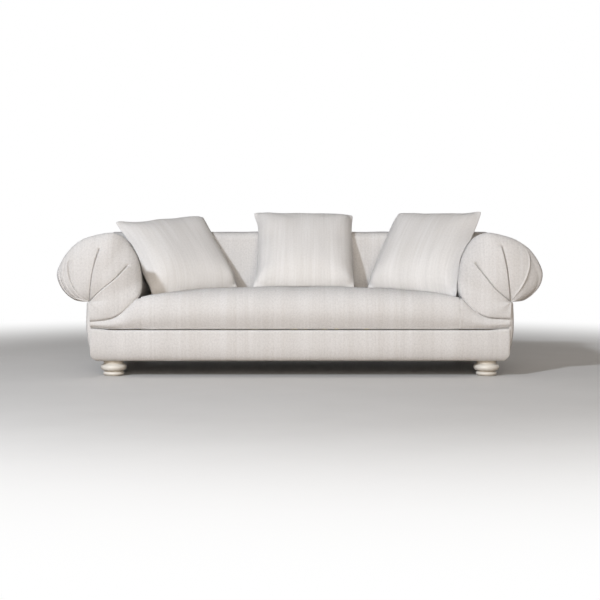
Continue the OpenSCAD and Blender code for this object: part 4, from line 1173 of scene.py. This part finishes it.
print("seat under the centre cushion", float(seat_floor(np.zeros(1), np.zeros(1))[0]))

# %% [markdown]
# Each cushion is now filled, let down onto the seat, given a thin sewn edge and pressed against
# what it rests on. Its insert is a smaller copy. One level of subdivision then smooths the
# cover, which is enough because the sheets have 60 steps a side already.

# %% Cushions
for where, c in CUSHIONS.items():
    obj, front_index, rear_index = cushion_mesh("cushion_cloth_" + where, c)
    rim = np.intersect1d(front_index, rear_index)
    print(where, "filled, largest move", round(filled(obj, rim), 4))
    co, gap = settled(points_of(obj), front_index, rear_index)
    # The sewn rim stands out as a thin knife edge
    half = len(front_index) // 2
    centre = co[front_index[half, half]] * 0.5 + co[rear_index[half, half]] * 0.5
    facing = cushion_axes(c)[2]
    out = co[rim] - centre
    out -= np.outer(out @ facing, facing)
    co[rim] += out / np.linalg.norm(out, axis=1)[:, None] * 0.0035
    set_points(obj, pressed(co))
    soft = obj.modifiers.new("smooth", "SUBSURF")
    soft.levels = soft.render_levels = 1
    print("gap closed under its edge", round(gap, 4))
    dress(lining(obj, "cushion_insert_cloth_" + where), ticking,
          "cushion_insert_" + where, body="cushion_" + where)
    dress(obj, cushion_cloth, "cushion_cover_" + where,
          body="cushion_" + where)

# %% [markdown]
# The stage is a plain pale floor, which fades to white far from the sofa. Only the camera,
# glossy surfaces and glass see the white floor and world, while their light on the sofa stays
# at a plain level, so that no surface clips.

# %% Floor
def make_floor():
    """A large flat sheet of pale plaster with a faint mottling."""
    side = np.linspace(-14, 14, 9)
    x, y = np.meshgrid(side, side, indexing="ij")
    mesh = bpy.data.meshes.new("floor")
    mesh.from_pydata(np.stack([x, y, 0 * x], 2).reshape(-1, 3).tolist(), [],
                     quads_of(np.arange(x.size).reshape(x.shape)).tolist())
    mat, add = new_material("pale_floor")
    spot = add("TexCoord").outputs["Object"]
    mottle = add("TexNoise", Vector=spot, Scale=3.0, Detail=5.0).outputs[0]
    path = add("LightPath")
    seen = math_node(add, "MAXIMUM", path.outputs["Is Camera Ray"], path.outputs["Is Glossy Ray"])
    pale = blend_colour(add, mottle, (0.72, 0.71, 0.69), (0.78, 0.77, 0.75))
    tone = blend_colour(add, seen, (0.17, 0.13, 0.10), pale)
    plaster = add("BsdfPrincipled", Base_Color=tone, Roughness=0.65)
    far = add("VectorMath", operation="LENGTH", in0=spot).outputs["Value"]
    fade = ranged(add, far, 2.0, 4.6, interpolation_type="SMOOTHSTEP")
    white = add("Emission", Color=(1, 1, 1), Strength=1.0)
    mixed = add("MixShader", in0=math_node(add, "MULTIPLY", fade, seen),
                in1=plaster.outputs[0], in2=white.outputs[0])
    add("OutputMaterial", in0=mixed.outputs[0])
    mesh.materials.append(mat)
    placed("floor", mesh)


make_floor()
print("floor laid")

# %% World
world = bpy.data.worlds.new("studio")
bpy.context.scene.world = world
world.use_nodes = True
add = adder(world.node_tree)
path = add("LightPath").outputs
through = math_node(add, "MAXIMUM", path["Is Glossy Ray"], path["Is Transmission Ray"])
seen = math_node(add, "MAXIMUM", path["Is Camera Ray"], through)
light = add("Background", Color=(1.0, 0.86, 0.74), Strength=0.11)
white = add("Background", Color=(1, 1, 1), Strength=1.0)
mixed = add("MixShader", in0=seen, in1=light.outputs[0], in2=white.outputs[0])
add("OutputWorld", in0=mixed.outputs[0])
print("world light", light.inputs["Strength"].default_value)

# %% [markdown]
# Two lamps light the sofa. A small cool one, high on the left, draws the shadows of the pleats
# and cushions, and a large warm one in front fills them. Area lamps are used, because their
# size sets how soft the edge of a shadow is.

# %% Lamps
def lamp_at(name, azimuth, elevation, distance, size, power, colour):
    """A square soft lamp at that bearing and height angle from the sofa's middle, turned
    towards it."""
    data = bpy.data.lights.new(name, "AREA")
    data.size, data.energy, data.color = size, power, colour
    lamp = placed(name, data)
    a, e = math.radians(azimuth), math.radians(elevation)
    middle = np.array([0, 0, SEAT_TOP])
    lamp.location = middle + distance * np.array([
        math.sin(a) * math.cos(e), -math.cos(a) * math.cos(e), math.sin(e)])
    lamp.rotation_euler = (math.pi / 2 - e, 0, a)


lamp_at("key_left", -28, 30, 9.0, 0.45, 425, (0.85, 0.91, 1.0))
lamp_at("fill_front", 0, 8, 8.0, 4.0, 318, (1.0, 0.90, 0.80))
print("lamps", [light.name for light in bpy.data.lights])

# %% [markdown]
# The camera was solved from the photograph: its lens is 0.705 m above the floor and 6.63 m in
# front of the sofa. The horizon lies above the middle of the picture, so the camera looks down
# by 2.7 degrees.

# %% Camera
PICTURE_PX = 600
FOCAL_PX = 1320.0
HORIZON_PX = 237.0
SENSOR_MM = 36.0
camera_data = bpy.data.cameras.new("camera")
camera_data.sensor_width = SENSOR_MM
camera_data.sensor_fit = "HORIZONTAL"
down = math.atan((PICTURE_PX / 2 - HORIZON_PX) / FOCAL_PX)
camera_data.lens = SENSOR_MM * FOCAL_PX / PICTURE_PX / math.cos(down)
camera = placed("camera", camera_data)
camera.location = (0, -7.138, 0.705)
camera.rotation_euler = (math.pi / 2 - down, 0, 0)
bpy.context.scene.camera = camera
bpy.context.scene.view_settings.view_transform = "Standard"
print("camera looks down", round(math.degrees(down), 2), "degrees")
